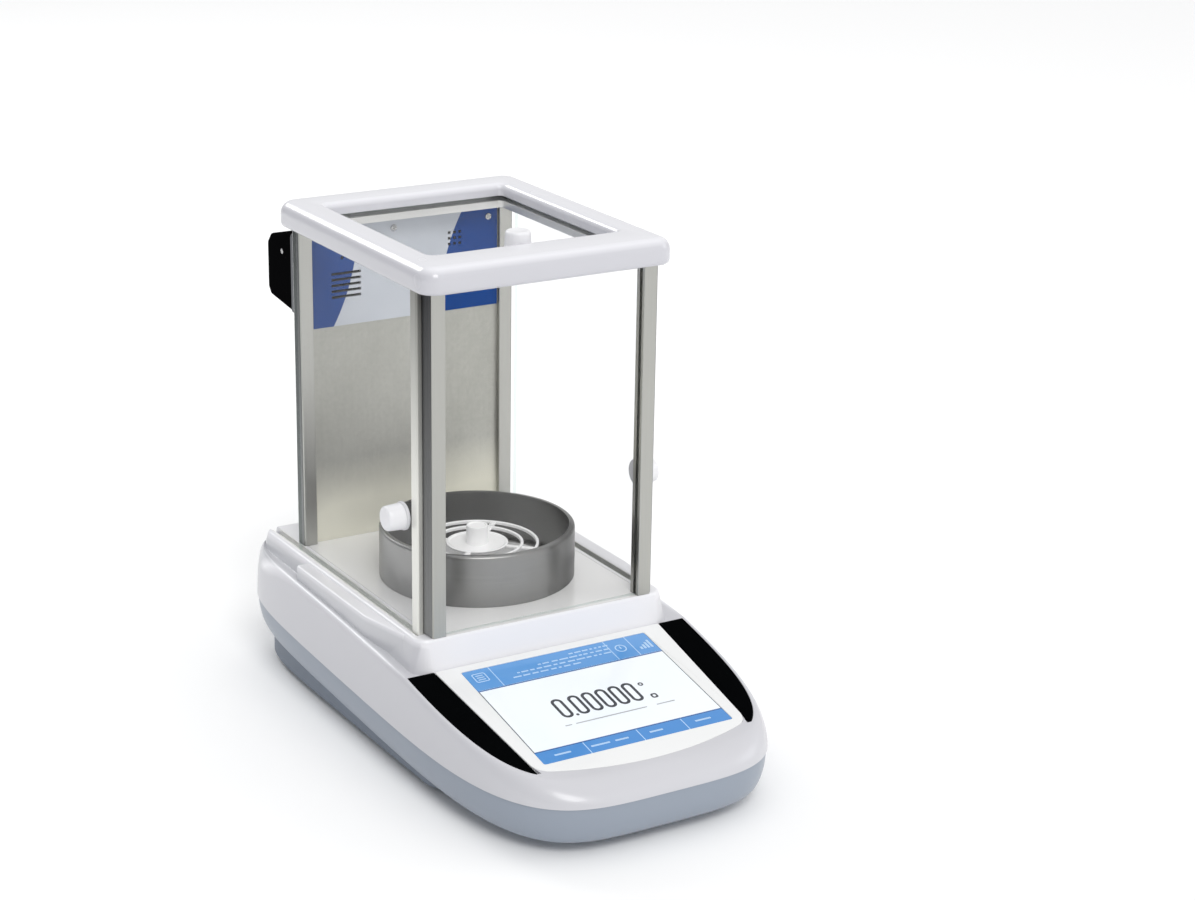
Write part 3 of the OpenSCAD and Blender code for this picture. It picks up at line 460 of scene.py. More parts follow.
SHELL = moulded("shell_upper", srgb(202, 202, 207), 0.34, 0.012, 0.45, 0.02,
                Coat_Weight=0.35, Coat_Roughness=0.12)
TRAY = moulded("shell_lower", srgb(145, 154, 167), 0.38, 0.014, 0.45, 0.03,
               Coat_Weight=0.2, Coat_Roughness=0.2)
# Painted shade: the keel is the lower shell's blue-grey made darker, as it lies in shade under the base; its coarser,
# rougher paint is its own.
KEEL = moulded("cast_keel", srgb(120, 129, 142), 0.55, 0.06, 0.9, 0.06)
BEZEL = moulded("bezel_white", srgb(237, 238, 238), 0.3, 0.006, 0.4, 0.012,
                Coat_Weight=0.4, Coat_Roughness=0.1)
INSERT = moulded("insert_black", srgb(6, 7, 8), 0.4, 0, 0.5, 0.1, Specular_IOR_Level=0.0)
FRAME = moulded("frame_white", srgb(202, 202, 208), 0.26, 0.006, 0.5, 0.012,
                Coat_Weight=0.5, Coat_Roughness=0.08)
# Painted light: the frame's top face is painted lighter than its sides, as light falls on it from above.
retouched(FRAME, FRAME.axes()[2].ramp(0.3440, 300), srgb(228, 228, 233))
KNOB = moulded("knob_white", srgb(235, 235, 238), 0.3, 0.01, 0.4, 0.02, Coat_Weight=0.3, Coat_Roughness=0.15)
COLLAR = moulded("knob_collar", srgb(214, 214, 218), 0.4, 0.01, 0.4, 0.04)
HOUSING = moulded("housing_black", srgb(11, 11, 12), 0.4, 0.02, 0.8, 0.15, Specular_IOR_Level=0.0)
FLANGE = moulded("flange_grey", srgb(88, 90, 95), 0.5, 0.03, 0.6, 0.06)
RUBBER = moulded("rubber_black", srgb(26, 26, 27), 0.82, 0.05, 0.4, 0.2)
# Painted shade: the door seal darkens towards its top, under the frame.
SEAL = shaded(moulded("door_seal", srgb(132, 133, 133), 0.6, 0.04, 0.35, 0.08), srgb(52, 53, 55))
SOCKET = moulded("socket_black", srgb(22, 22, 24), 0.4, 0.02, 0.5, 0.12)
MODULE = moulded("module_grey", srgb(96, 98, 102), 0.5, 0.02, 0.5, 0.05)
POST = brushed("post_alloy", srgb(186, 186, 181), 0.34, (900, 900, 14), streak=0.16)
# Painted shade: the door stiles darken towards their top, under the frame.
STILE = shaded(brushed("stile_alloy", srgb(232, 232, 226), 0.34, (900, 900, 14), metal=0.75),
               srgb(132, 132, 128), 0.19)
RAIL = brushed("rail_alloy", srgb(222, 222, 220), 0.36, (900, 14, 900), metal=0.7)
CAST = brushed("machined_alloy", srgb(172, 174, 176), 0.38, (700, 60, 700), streak=0.12)
FLOOR = brushed("floor_steel", srgb(255, 255, 254), 0.16, (30, 1100, 1100), streak=0.06, depth=0.001, metal=0.12)
STEEL = brushed("bright_steel", srgb(190, 190, 190), 0.24, (900, 900, 60))
MAGNET = brushed("plated_iron", srgb(120, 122, 126), 0.36, (300, 300, 60))
PAN = spun("pan_steel", srgb(255, 255, 255), 0.22, 1100, 0.0006, 0.03, dark=0.96, metal=0.0)
# Painted reflections on the wind ring: dark towards the front right, the front left and the rear.
RING = spun("ring_steel", srgb(172, 172, 171), 0.37, 700, 0.0004, 0.08, dark=0.3,
            painted_reflections=((-44, 14, 0.62), (-140, 50, 0.3), (108, 2.5, 0.35)))


def shell_painted_light():
    """Painted light on the upper shell: a painted highlight along the crest, the front and top of the deck painted
    lighter where light falls on them, and the ledge held at one even grey.
    """
    across, along, rise = SHELL.axes()
    aside = across.size()
    ledge = aside.below(0.1076) * rise.below(0.0925) * along.ramp(-0.047, 40)
    crest = (1 - (aside - 0.1084).size() * 450).held() * rise.ramp(0.074, 200) * along.ramp(-0.060, 30)
    front = along.ramp(-0.0470, -700) * along.ramp(-0.0565, 700) * aside.ramp(0.0985, -90)
    retouched(SHELL, ledge, srgb(203, 204, 208))
    # Painted highlight along the crest of the side walls.
    retouched(SHELL, crest, srgb(246, 246, 250))
    # Painted light: the deck's front face and its top are painted lighter, where light falls on them.
    retouched(SHELL, (front + rise.ramp(0.0905, 250)).held(), srgb(234, 234, 238))


def wall_steel():
    """Stainless sheet of the rear wall: matt, clouded, with faint upright lines, and low down a painted reflection: a
    warm, lighter band where the sheet is also less metallic.
    """
    look = Look("wall_steel", srgb(176, 176, 168), 0.42, 0.85)
    lines = look.noise(1.0, (1300, 1300, 26), detail=4.0, rough=0.65)
    cloud = look.noise(11, (1, 1, 0.7), detail=5.0, rough=0.6)
    spots = look.noise(420, detail=2.0)
    mask = (cloud - 0.5) * 1.1 + (lines - 0.5) * 0.35 + (spots - 0.5) * 0.35 + 0.5
    sheet = look.blended(mask.held(), srgb(156, 156, 149), srgb(203, 203, 196))
    # Painted reflection low on the wall: the sheet becomes a warm, light colour and less metallic towards the bottom.
    warm = (look.axes()[2].ramp(0.156, -26) * (0.5 + cloud)).held()
    look.set("Metallic", 0.85 - warm * 0.55)
    return look.surface(look.blended(warm * 0.9, sheet, srgb(240, 238, 222)),
                        0.42 + (lines - 0.5) * 0.2 + (cloud - 0.5) * 0.15, lines, 0.003)


def vent_print():
    """Painted vent panel: blue sides that two wide arcs part from a pale middle."""
    look = Look("vent_paint", srgb(192, 196, 203), 0.45, Specular_IOR_Level=0.04)
    across, _, rise = look.axes()

    def reach(x, z):
        """Distance from a point of the panel's plane."""
        dx, dz = across - x, rise - z
        return (dx * dx + dz * dz) ** 0.5
    blue = (reach(-0.190, 0.331).below(0.152) + reach(0.176, 0.256).below(0.150)).held()
    shade = look.noise(26, detail=3.0)
    fine = look.noise(1800, detail=2.0)
    deep = look.blended(shade, srgb(24, 62, 126), srgb(32, 72, 140))
    pale = look.blended(shade, srgb(184, 189, 197), srgb(200, 204, 210))
    return look.surface(look.blended(blue, pale, deep),
                        0.45 + (shade - 0.5) * 0.12 + (fine - 0.5) * 0.08, fine, 0.012)


def screen_picture():
    """Lit display: pale field between two blue bars, with thin rules and grey flanks."""
    look = Look("screen_picture", srgb(236, 243, 250), 0.16, Coat_Weight=0.25, Coat_Roughness=0.03,
                Specular_IOR_Level=0.2, Emission_Strength=0.06)
    x, y, _ = look.axes()
    top, low = y.above(-0.0862), y.below(-0.1608)
    side = x.size().above(0.0705) * (1 - top) * (1 - low)
    rules = y.lines((-0.0869, -0.1602), 0.0006)
    splits = x.lines((-0.0512, 0.0375, 0.0545), 0.00035) * top + x.lines((-0.036, 0.004, 0.038), 0.00035) * low
    bar = look.blended(y.ramp(-0.173, 9.0), srgb(76, 138, 204), srgb(96, 154, 214))
    face = look.blended(look.noise(14, detail=1.0), srgb(232, 240, 248), srgb(243, 247, 251))
    face = look.blended(side, face, srgb(92, 98, 108))
    face = look.blended((top + low).held(), face, bar)
    face = look.blended(rules, face, srgb(66, 104, 158))
    face = look.blended(splits.held(), face, srgb(172, 204, 236))
    look.set("Emission Color", face)
    return look.surface(face, 0.1 + (look.noise(40, detail=2.0) - 0.5) * 0.05)


def printed_board():
    """Circuit board: green lacquer over fine copper tracks."""
    look = Look("circuit_board", srgb(28, 84, 52), 0.42)
    tracks = look.node("TexBrick", {"offset": 0.37}, Vector=look.place(),
                       Color1=srgb(30, 92, 56), Color2=srgb(24, 78, 48), Mortar=srgb(92, 118, 66),
                       Scale=180.0, Mortar_Size=0.03)
    cloud = look.noise(60, detail=2.0)
    return look.surface(look.blended(cloud * 0.3, tracks, srgb(18, 60, 38)),
                        0.42 + (cloud - 0.5) * 0.2, look.noise(900, detail=2.0), 0.02)


def wound_copper():
    """Enamelled winding: fine level turns round the coil."""
    look = Look("wound_copper", srgb(176, 92, 48), 0.35, 0.9)
    turns = look.node("Math", {"operation": "SINE"}, look.axes()[2] * 14000.0)
    return look.surface(look.blended(turns * 0.5 + 0.5, srgb(132, 62, 30), srgb(196, 110, 62)),
                        0.35 + (look.noise(300) - 0.5) * 0.2, turns, 0.08)


def level_liquid():
    """Coloured liquid of the bubble level, which light passes through."""
    look = Look("level_liquid", srgb(186, 214, 84), 0.05, Transmission_Weight=0.85, IOR=1.4)
    look.set("Roughness", 0.05 + (look.noise(90, detail=2.0) - 0.5) * 0.06)
    return look


shell_painted_light()
WALL_STEEL = wall_steel()
VENT_PAINT = vent_print()
PICTURE = screen_picture()
BOARD = printed_board()
COPPER = wound_copper()
PANE = clear("clear_pane", srgb(255, 255, 255), 0.045)
PANE_EDGE = clear("pane_edge", srgb(236, 243, 241), 0.3)
VIAL = level_liquid()
DIGIT = moulded("digit_grey", srgb(58, 61, 68), 0.3, 0.002, 0.5, 0.02)
MARK = moulded("mark_pale", srgb(176, 208, 240), 0.3, 0.002, 0.5, 0.02)
RULE = moulded("rule_grey", srgb(176, 179, 184), 0.3, 0.002, 0.5, 0.02)


# Plan and section of the base

def outline(t):
    """Point of the base's plan in the direction t, from 0 at the rear to 180 at the nose."""
    c, s = math.sin(math.radians(t)), math.cos(math.radians(t))
    n = TAIL_N if s > 0 else NOSE_N
    run = TAIL_Y - WIDEST_Y if s > 0 else WIDEST_Y - NOSE_Y
    k = (abs(c) ** n + abs(s) ** n) ** (-1 / n)
    return Vector((BASE_W / 2 * c * k, WIDEST_Y + run * s * k))


def outward(p):
    """Direction out of the plan at its point p."""
    d = p.y - WIDEST_Y
    n, run = (TAIL_N, TAIL_Y - WIDEST_Y) if d > 0 else (NOSE_N, WIDEST_Y - NOSE_Y)
    across = abs(p.x * 2 / BASE_W) ** (n - 1) * 2 / BASE_W
    return Vector((math.copysign(across, p.x), math.copysign((abs(d) / run) ** (n - 1) / run, d))).normalized()


def edge_at(p):
    """How far the upper shell's edge rolls inwards, more towards the nose."""
    return EDGE_IN + (LIP_IN - EDGE_IN) * max(0, -outward(p).y) ** 2


def seam_z(y):
    return 35.5 + 17 * max(0, (y - NOSE_Y) / BASE_L) ** 1.6


def panel_z(y):
    return DECK_H - RISER_H + (y - RISER_Y) * PANEL_TILT


def ledge_z(y):
    return DECK_H - 9.5 - (RISER_H - 9.5) * max(0, (TAIL_Y - y) / (TAIL_Y - RISER_Y)) ** 2.2


def top_z(y):
    return panel_z(y) if y < RISER_Y else ledge_z(y)


def tray_z(y):
    return seam_z(y) - 27 + 2.5 * (y - NOSE_Y) / BASE_L


def plan_turns():
    """Directions round the plan, closer together where it bends."""
    fine = [0.05 + i * 0.1 for i in range(1800)]
    chosen, run = [0.0], 0.0
    for a, b in zip(fine, fine[1:]):
        p, q = outline(a), outline(b)
        run += (q - p).length / 5.5 + math.degrees(outward(p).angle(outward(q))) / 2.4
        if run >= 1:
            chosen.append(b)
            run = 0.0
    return chosen[:-1] + [180.0]


PLAN = [(outline(t), outward(outline(t)) if 0 < t < 180 else Vector((0, 1 if t == 0 else -1)))
        for t in plan_turns()]
CREST_TURNS = (90, 89, 87.5, 85.5, 83, 80, 76, 71, 65, 57, 48, 38, 28, 18, 9, 0)
TRAY_TURNS = (90, 82, 75, 67, 58, 48, 38, 28, 18, 8, 0)


def plan_ring(point):
    """Closed ring of point(p, out) for every point of the plan."""
    half = [point(p, out) for p, out in PLAN]
    half = [(max(0, x), y, z) for x, y, z in half]
    return half + [(-x, y, z) for x, y, z in half[-2:0:-1]]


def wall_ring(a, wall=0.0):
    """Ring of the upper shell's wall at the edge angle a, moved in by wall."""
    turn = math.radians(a)

    def point(p, out):
        q = p - out * (wall + edge_at(p) * (1 - math.cos(turn)))
        low = seam_z(p.y)
        return q.x, q.y, low + (top_z(q.y) - wall - low) * math.sin(turn)
    return plan_ring(point)


def tray_ring(a, wall=0.0):
    """Ring of the lower shell's wall at the edge angle a, moved in by wall."""
    turn = math.radians(a)

    def point(p, out):
        q = p - out * (wall + 0.8 + (TRAY_IN - 0.8) * (1 - math.cos(turn)))
        high = seam_z(p.y) - SEAM_GAP
        return q.x, q.y, high - (high - tray_z(p.y) - wall) * math.sin(turn)
    return plan_ring(point)


def inner_ring(share, half_w, front, rear, height):
    """Ring further in, held within a rectangle, with its height from y."""
    def point(p, out):
        y = max(front, min(rear, p.y))
        return min(share * p.x, half_w), y, height(y)
    return plan_ring(point)


def block_ring(half_w, y_end, y_start, r, z, steps=9):
    """Ring of a rounded rectangle, centred across the object."""
    return [(x, y, z) for x, y in slab(half_w, y_end, y_start, r, steps=steps)]


def on_panel(plan, height):
    """The plan's points at a height over the sloping panel's face."""
    return [(x, y, panel_z(y) + height * LIFT) for x, y in plan]


def sloped(name, plan, low, high):
    """Solid of a plan on the sloping panel, between two heights over its face."""
    piece = extruded(name, plan, 0, 1)
    return sealed(placed(piece, on_panel(plan, low) + on_panel(plan, high)))


def cushion(name, plan, r, low=-2):
    """Solid flush with the sloping panel, its upper edge rounded by r; plan(g) is its plan grown by g."""
    steps = [(0, low), *[(r * (math.cos(a) - 1), r * (math.sin(a) - 1)) for a in (0, 0.4, 0.8, 1.2, math.pi / 2)]]
    return filled(lofted(name, [on_panel(plan(g), h) for g, h in steps]))


def inlay(name, plan, inner=None):
    """Thin mark in the screen: a plan, or the band between it and an inner plan of equal count."""
    if inner is None:
        return sloped(name, plan, INLAY_LOW, INLAY_HIGH)
    edges = ((plan, INLAY_LOW), (plan, INLAY_HIGH), (inner, INLAY_HIGH), (inner, INLAY_LOW))
    return lofted(name, [on_panel(*edge) for edge in edges], around=True)


def bezel_plan(g=0.0):
    """Plan of the bezel, grown by g: narrower towards the nose, with a bowed front edge."""
    corner_x, corner_y, r, bow = 67, -168, 13, 10.5
    bow_r = (corner_x ** 2 + (r + bow) ** 2 - r ** 2) / (2 * bow)
    bow_y = PANEL_FRONT - bow + bow_r
    turn = math.atan(corner_x / (bow_y - corner_y))
    side, rear = BEZEL_X + g, PANEL_REAR + g
    half = [(side - 1.2, rear), (side - 0.35, rear - 0.35), (side, rear - 1.2)]
    for a in ((math.pi / 2 - turn) * i / 10 for i in range(11)):
        half.append((corner_x + (r + g) * math.cos(a), corner_y - (r + g) * math.sin(a)))
    for a in (turn * (1 - i / 14) for i in range(1, 15)):
        half.append(((bow_r + g) * math.sin(a), bow_y - (bow_r + g) * math.cos(a)))
    return [(-x, y) for x, y in half[:-1]] + half[::-1]


def insert_plan(g=0.0, lap=0.0):
    """Plan of the right insert, grown by g, and by lap more on its inner side."""
    inner, lean = BEZEL_X + 0.5 - g - lap, 7 / 112
    edge = []
    for p, out in PLAN:
        q = p - out * (edge_at(p) + 1.2)
        if PANEL_FRONT < q.y < PANEL_REAR - 1 and q.x > BEZEL_X + 0.6 - (PANEL_REAR - q.y) * lean:
            q += out * g
            edge.append((max(q.x, inner - (PANEL_REAR - q.y) * lean + 0.05), q.y))
    last = edge[-1][1]
    return [(inner, PANEL_REAR + g), (edge[0][0], PANEL_REAR + g), *edge,
            (inner - (PANEL_REAR - last) * lean, last)]


def slab(half_w, high, low, r, x=0, steps=4):
    """Plan of a rounded rectangle about x."""
    return rounded([(x + half_w, high, r), (x - half_w, high, r), (x - half_w, low, r), (x + half_w, low, r)], steps)


def keel_plan(g=0.0):
    """Plan of the keel, grown by g."""
    front, r, half = -94 - g, 26, []
    for p, out in PLAN:
        q = p - out * (KEEL_IN - g)
        if q.y > front + r:
            half.append((max(0, q.x), q.y))
    half += arc(BASE_W / 2 - KEEL_IN + g - r, front + r, r, range(0, -91, -6))
    return half[::-1] + [(-x, y) for x, y in half if x > 0]


# Base

def upper_shell():
    """Upper body with its raised deck and side strips, less the recesses for what sits in it."""
    skin = [inner_ring(0.7, 80, -38, 178, lambda y: 84), inner_ring(0.8, 88, -46, 186, lambda y: top_z(y) - 3.6),
            inner_ring(0.9, 98, -55, 200, lambda y: top_z(y) - 3.2),
            inner_ring(0.92, 101.5, -55, 202, lambda y: top_z(y) - 2.4),
            *[wall_ring(a) for a in CREST_TURNS], *[wall_ring(a, WALL) for a in reversed(CREST_TURNS)],
            inner_ring(0.9, 95, -52, 197, lambda y: top_z(y) - WALL),
            inner_ring(0.8, 88, -46, 186, lambda y: top_z(y) - WALL), inner_ring(0.7, 80, -38, 178, lambda y: 70.5)]
    shell = filled(lofted("upper_body", skin))
    rim = [(6, 72), (0.9, 93.7), (0.62, 94.5), (0.2, 95.2), (-0.4, 95.7), (-1.1, 95.94), (-1.9, DECK_H)]
    deck = filled(lofted("deck", [block_ring(DECK_X + g, DECK_END + g, -49.3 - g, 9 + g, z) for g, z in rim]))
    plan = [(88.5, 120.6), (104.5, 120.6, 2.5), (104.5, 12, 40), (96.5, -29, 3), (88.5, -33)]
    side = eased(extruded("side_strip", rounded(plan, 8), 70, 24.5), 1.4, 4, 60)
    fused(shell, deck, mirrored(side, "side_strip_left"), side)
    hollow = [block_ring(91.5, DECK_END - 3, -46.3, 6, 69), block_ring(90.5, DECK_END - 4, -45.3, 5, 93)]
    cut(shell, filled(lofted("hollow", hollow)))
    recess = sloped("recess", bezel_plan(FIT), -2, 20)
    right = sloped("recess_right", insert_plan(FIT, 2), -2, 20)
    left = mirrored(right, "recess_left")
    window = sloped("window", [(-67, -169), (67, -169), (67, -67), (-67, -67)], -9, 1)
    floor = block("floor_recess", (-82.6, -48.7, 94.5), (82.6, 151.0, 97))
    hole = turned("hanger_hole", [(0, 88), (20, 88), (20, 98), (0, 98)], PAN_MIDDLE, steps=48)
    tracks = [block("track", (s * DOOR_X - 3.3, DOOR_FRONT, 91), (s * DOOR_X + 3.3, 230, 97)) for s in (-1, 1)]
    ports = block("ports", (-64.25, 204, 58.25), (64.25, 240, 80.75))
    level = turned("level_seat", [(0, 94), (11.25, 94), (11.25, 98), (0, 98)], LEVEL_SPOT, steps=48)
    cut(shell, recess, right, left, window, floor, hole, *tracks, ports, level)
    done(shell, SHELL, "base", "upper_shell", slot="shell_upper", smooth=32)


def lower_shell():
    skin = [inner_ring(0.7, 80, -60, 180, lambda y: 5), inner_ring(0.8, 95, -80, 190, tray_z),
            *[tray_ring(a) for a in TRAY_TURNS], *[tray_ring(a, WALL) for a in reversed(TRAY_TURNS)],
            inner_ring(0.8, 95, -80, 190, lambda y: tray_z(y) + WALL), inner_ring(0.7, 80, -60, 180, lambda y: 40)]
    tray = filled(lofted("lower_body", skin))
    cut(tray, extruded("keel_gap", keel_plan(0.3), -1, 60))
    done(tray, TRAY, "base", "lower_shell", slot="shell_lower", smooth=32)


def keel():
    """Casting under the base, with a boss and a seat for the wheel of each level screw."""
    body = eased(extruded("keel", keel_plan(), 4.5, 31), 1.6, 3, 60)
    cut(body, extruded("keel_inside", keel_plan(-4), 8.5, 60))
    for s in (-1, 1):
        x = s * SCREW_X
        boss = turned("screw_boss", [(4.05, 4.5), (20, 4.5), (20, 30.5), (4.05, 30.5)], (x, SCREW_Y, 0), steps=48)
        plan = arc(x, SCREW_Y, 18.5, range(139, 402, 6)) + [(x + 14, 240), (x - 14, 240)]
        seat = extruded("wheel_seat", plan, -1, 14.3)
        fused(body, boss)
        cut(body, seat)
    done(body, KEEL, "base", "base_casting", slot="casting", smooth=32)


def front_panel():
    """Bezel, screen and side inserts on the sloping panel."""
    bezel = cushion("bezel", bezel_plan, 0.5)
    opening = slab(SCREEN_X + FIT, SCREEN_REAR + FIT, SCREEN_FRONT - FIT, 1.5)
    cut(bezel, sloped("screen_cut", opening, -4, 2))
    done(bezel, BEZEL, "base", "screen_bezel", slot="bezel", flat=True)
    screen = cushion("screen_glass", lambda g: slab(SCREEN_X + g, SCREEN_REAR + g, SCREEN_FRONT - g, 1.4 + g), 0.35)
    done(screen, PICTURE, "base", "touch_screen", slot="screen", flat=True)
    right = cushion("insert_right", insert_plan, 0.6)
    left = mirrored(right, "insert_left")
    done(right, INSERT, "base", "panel_insert_right", slot="insert", flat=True)
    done(left, INSERT, "base", "panel_insert_left", slot="insert", flat=True)


def display_marks():
    """Reading, rules and plain marks of the display, as thin inlays in the glass."""
    reading = [inlay("digit", slab(4.2, -112, -133.5, 4.1, x, 8), slab(2.1, -114.1, -131.4, 2.05, x, 8))
               for x in (-28.8, -16.4, -6.1, 4.2, 14.5, 24.8)]
    reading += [inlay("point", slab(1.1, -131.3, -133.5, 1, -22.6, 6)),
                inlay("steady", slab(1.9, -114.8, -118.6, 1.85, 34.9, 6), slab(0.8, -115.9, -117.5, 0.75, 34.9, 6)),
                inlay("unit", slab(2.4, -129, -134, 1.6, 36.6, 6), slab(1.1, -130.3, -132.7, 0.8, 36.6, 6))]
    done(gathered("reading", reading), DIGIT, "base")
    rules = [inlay("rule", slab(w, -140.5, -141.5, 0.4, x)) for x, w in ((-34.5, 2.5), (-2, 27), (39.5, 7))]
    done(gathered("reading_rules", rules), RULE, "base")
    marks = [inlay("menu", slab(5, -67.5, -77.5, 1.6, -61.5), slab(4.2, -68.3, -76.7, 1, -61.5)),
             *[inlay("menu_bar", slab(2.8, y, y - 1, 0.4, -61.5)) for y in (-69.7, -72, -74.3)],
             inlay("dial", slab(4.2, -70.3, -78.7, 4.1, 45.5, 8), slab(3.3, -71.2, -77.8, 3.2, 45.5, 8)),
             inlay("dial_hand", slab(0.5, -72.2, -75.2, 0.3, 45.5)),
             *[inlay("column", slab(0.9, -80.5 + h, -80.5, 0.3, 59.4 + i * 2.7)) for i, h in enumerate((3, 5, 7, 9))]]
    chance = random.Random(7)
    for y, first, last in ((-67.5, 8, 36), (-71.5, -18, 36), (-75.5, -36, 32), (-79.5, -41, 12)):
        x = first
        while x < last:
            w = chance.uniform(0.9, 3.4)
            marks.append(inlay("tick", slab(w, y, y - 1.3, 0.35, x + w)))
            x += 2 * w + chance.uniform(0.9, 2.2)
    marks += [inlay("key", slab(w, -165.8, -167.4, 0.4, x))
              for x, w in ((-54, 6), (-26, 7), (-10, 5), (16, 5), (52, 6))]
    done(gathered("display_marks", marks), MARK, "base")


upper_shell()
lower_shell()
keel()
front_panel()
display_marks()


# Weighing chamber and the rest

def deck_parts():
    """Floor plate, door tracks and bubble level."""
    plan = []
    for sx, sy in ((1, 1), (-1, 1), (-1, -1), (1, -1)):
        edge_y, post_y = (150.7, 147.3) if sy > 0 else (-48.4, DOOR_FRONT)
        corner = [(82.3, post_y), (74.25, post_y), (74.25, edge_y)]
        plan += [(sx * x, y, 0.6) for x, y in (corner if sx * sy > 0 else corner[::-1])]
    plate = extruded("floor_sheet", rounded(plan, 3), 94.5, 1.5)
    cut(plate, turned("sheet_hole", [(0, 90), (12, 90), (12, 100), (0, 100)], PAN_MIDDLE, steps=64))
    done(eased(plate, 0.3, 2, 60), FLOOR, "base", "floor_plate", slot="steel", flat=True)
    channel = rounded([(91.3, 91, 0.3), (91.3, 96, 0.3), (90.5, 96, 0.3), (90.5, 91.8, 0.2), (85.5, 91.8, 0.2),
                       (85.5, 96, 0.3), (84.7, 96, 0.3), (84.7, 91, 0.3)], 2)
    right = extruded("track_right", channel[::-1], DOOR_FRONT, 228.3, "Y")
    left = mirrored(right, "track_left")
    done(right, RAIL, "base", "door_track_right", slot="post", flat=True)
    done(left, RAIL, "base", "door_track_left", slot="post", flat=True)
    cup = [(0, 94), (0, 95.4), (8.3, 95.4), (8.5, 100, 0.5), (10.95, 100, 0.8), (10.95, 94)]
    done(turned("level_cup", rounded(cup, 3), LEVEL_SPOT, steps=64), SOCKET, "base", "level_holder", slot="port_black")
    dome = [(0, 95.3), (8.2, 95.3), (8.2, 98.6), (7.9, 99.1), (6.4, 99.6), (3.4, 99.93), (0, 100)]
    done(turned("level_glass", dome, LEVEL_SPOT, steps=64), VIAL, "base", "level_vial", slot="vial")
    circle = [(3.0, 99.9), (3.35, 99.9), (3.35, 100.06), (3.0, 100.06)]
    done(turned("level_circle", circle, LEVEL_SPOT, steps=48), SOCKET, "base")
    bubble = [(0, 97.2), (1.6, 97.5), (2.2, 98.4), (1.7, 99.2), (0, 99.6)]
    done(turned("level_bubble", bubble, (52.5, 178, 0), steps=32), MARK, "base")


def post(name, side, y, slot_y, slot_w):
    """Extruded post with its seal: rounded outer corners, a slot for the pane and a groove for the seal."""
    slot_x, slot_end = POST_IN + 3.3, slot_y + slot_w
    plan = [(POST_X, y, 1.0), (POST_X, y + 3.5, 0.15), (POST_X - 1, y + 3.5), (POST_X - 1, y + 6.5),
            (POST_X, y + 6.5, 0.15), (POST_X, y + POST_S, 1.0), (POST_IN, y + POST_S, 0.4), (POST_IN, slot_end),
            (slot_x, slot_end), (slot_x, slot_y), (POST_IN, slot_y), (POST_IN, y, 0.4)]
    bar = extruded(name, rounded(plan, 4), DECK_H, RAILS_Z - DECK_H)
    tail = y + (12.6 if y < 0 else 8.6)
    lip = rounded([(83.6, y + 3.6), (POST_X, y + 3.6), (POST_X, y + 0.8, 0.2), (84.95, y + 0.8, 0.2),
                   (85.1, y + 2.6, 0.2), (84.9, y + 3.9, 0.1), (85.2, y + 5.0, 0.2), (84.9, y + 6.1, 0.1),
                   (85.4, y + 7.4, 0.2), (85.4, tail, 0.3), (POST_X, tail, 0.3), (POST_X, y + 6.4),
                   (83.6, y + 6.4)], 2)
    seal = extruded(name.replace("column", "seal"), lip, DECK_H + 0.5, RAILS_Z - DECK_H - 1)
    if side < 0:
        reflected(bar)
        reflected(seal)
    return bar, seal


def shield_posts():
    for side, word in SIDES:
        for place, y, slot_y, slot_w in (("front", -49, -46.15, 3.3), ("rear", 147.6, 150.95, 1.8)):
            bar, seal = post(f"column_{place}_{word}", side, y, slot_y, slot_w)
            done(bar, POST, "base", f"post_{place}_{word}", slot="post", flat=True)
            done(seal, SEAL, "base", flat=True)


def top_frame():
    """Moulded frame round the top opening, over the aluminium rails."""
    outer = [(-2.4, 0), (-1.5, 0.2), (-0.8, 0.8), (-0.3, 1.8), (0, 3.2), (0, 8.5), *arc(-9, 8.5, 9, range(10, 91, 10))]
    inner = [*arc(4.6, 12.9, 4.6, range(90, 181, 15)), (0, 0.5), (0.5, 0)]
    rings = [block_ring(93.7 + s, 166.8 + s, -58.2 - s, 13 + s, RAILS_Z + h, 12) for s, h in outer]
    rings += [block_ring(OPEN_X + s, OPEN_END + s, OPEN_Y - s, 4 + s, RAILS_Z + h, 12) for s, h in inner]
    frame_piece = lofted("top_moulding", rings, around=True)
    under = block("rail_seat", (-84.6, -49.1, 330), (84.6, 157.7, 336.2))
    slot = block("door_slot", (-76.3, -27.3, 336.1), (76.3, 300, 339.8))
    grooves = [block("groove", (s * DOOR_X - 2.5, -39, 330), (s * DOOR_X + 2.5, 300, 333.6)) for s in (-1, 1)]
    cut(frame_piece, under, slot, *grooves)
    done(frame_piece, FRAME, "base", "top_frame", slot="frame_white", smooth=40)
    rails = extruded("rail_plate", slab(POST_X, 157.6, -49, 2), RAILS_Z, 5.2)
    cut(rails, extruded("rail_hole", slab(OPEN_X, OPEN_END, OPEN_Y, 4, steps=8), RAILS_Z - 1, 8))
    done(eased(rails, 0.3, 2, 60), RAIL, "base", "top_rails", slot="post", flat=True)


def pane(name, low, high, body, node):
    """Sheet of glass with ground, rounded edges that look green from the side."""
    sheet = block(name, low, high, 0.5, 2)
    done(sheet, PANE, body, node, slot="pane", flat=True)
    sheet.data.materials.append(PANE_EDGE.material)
    size = Vector(high) - Vector(low)
    thin = min(range(3), key=lambda i: size[i])
    for face in sheet.data.polygons:
        face.material_index = 0 if abs(face.normal[thin]) > 0.9 else 1


def knob(name):
    """Tapered knob with a fingertip dish, and its collar, both upright."""
    grip = [(0, 1.5), (8.4, 1.5), (8.4, 2.5), (9.0, 2.6), (9.0, 3.2), (8.5, 12.4), (8.3, 13.3), (7.8, 14.1),
            (7.0, 14.5), (6.0, 14.45), (4.8, 14.1), (0, 13.9)]
    ring = [(0, 0), (9.1, 0), (9.6, 0.4), (9.7, 0.9), (9.7, 1.8), (9.4, 2.35), (8.9, 2.5), (0, 2.5)]
    return turned(name, grip, steps=64), turned(name + "_collar", ring, steps=64)


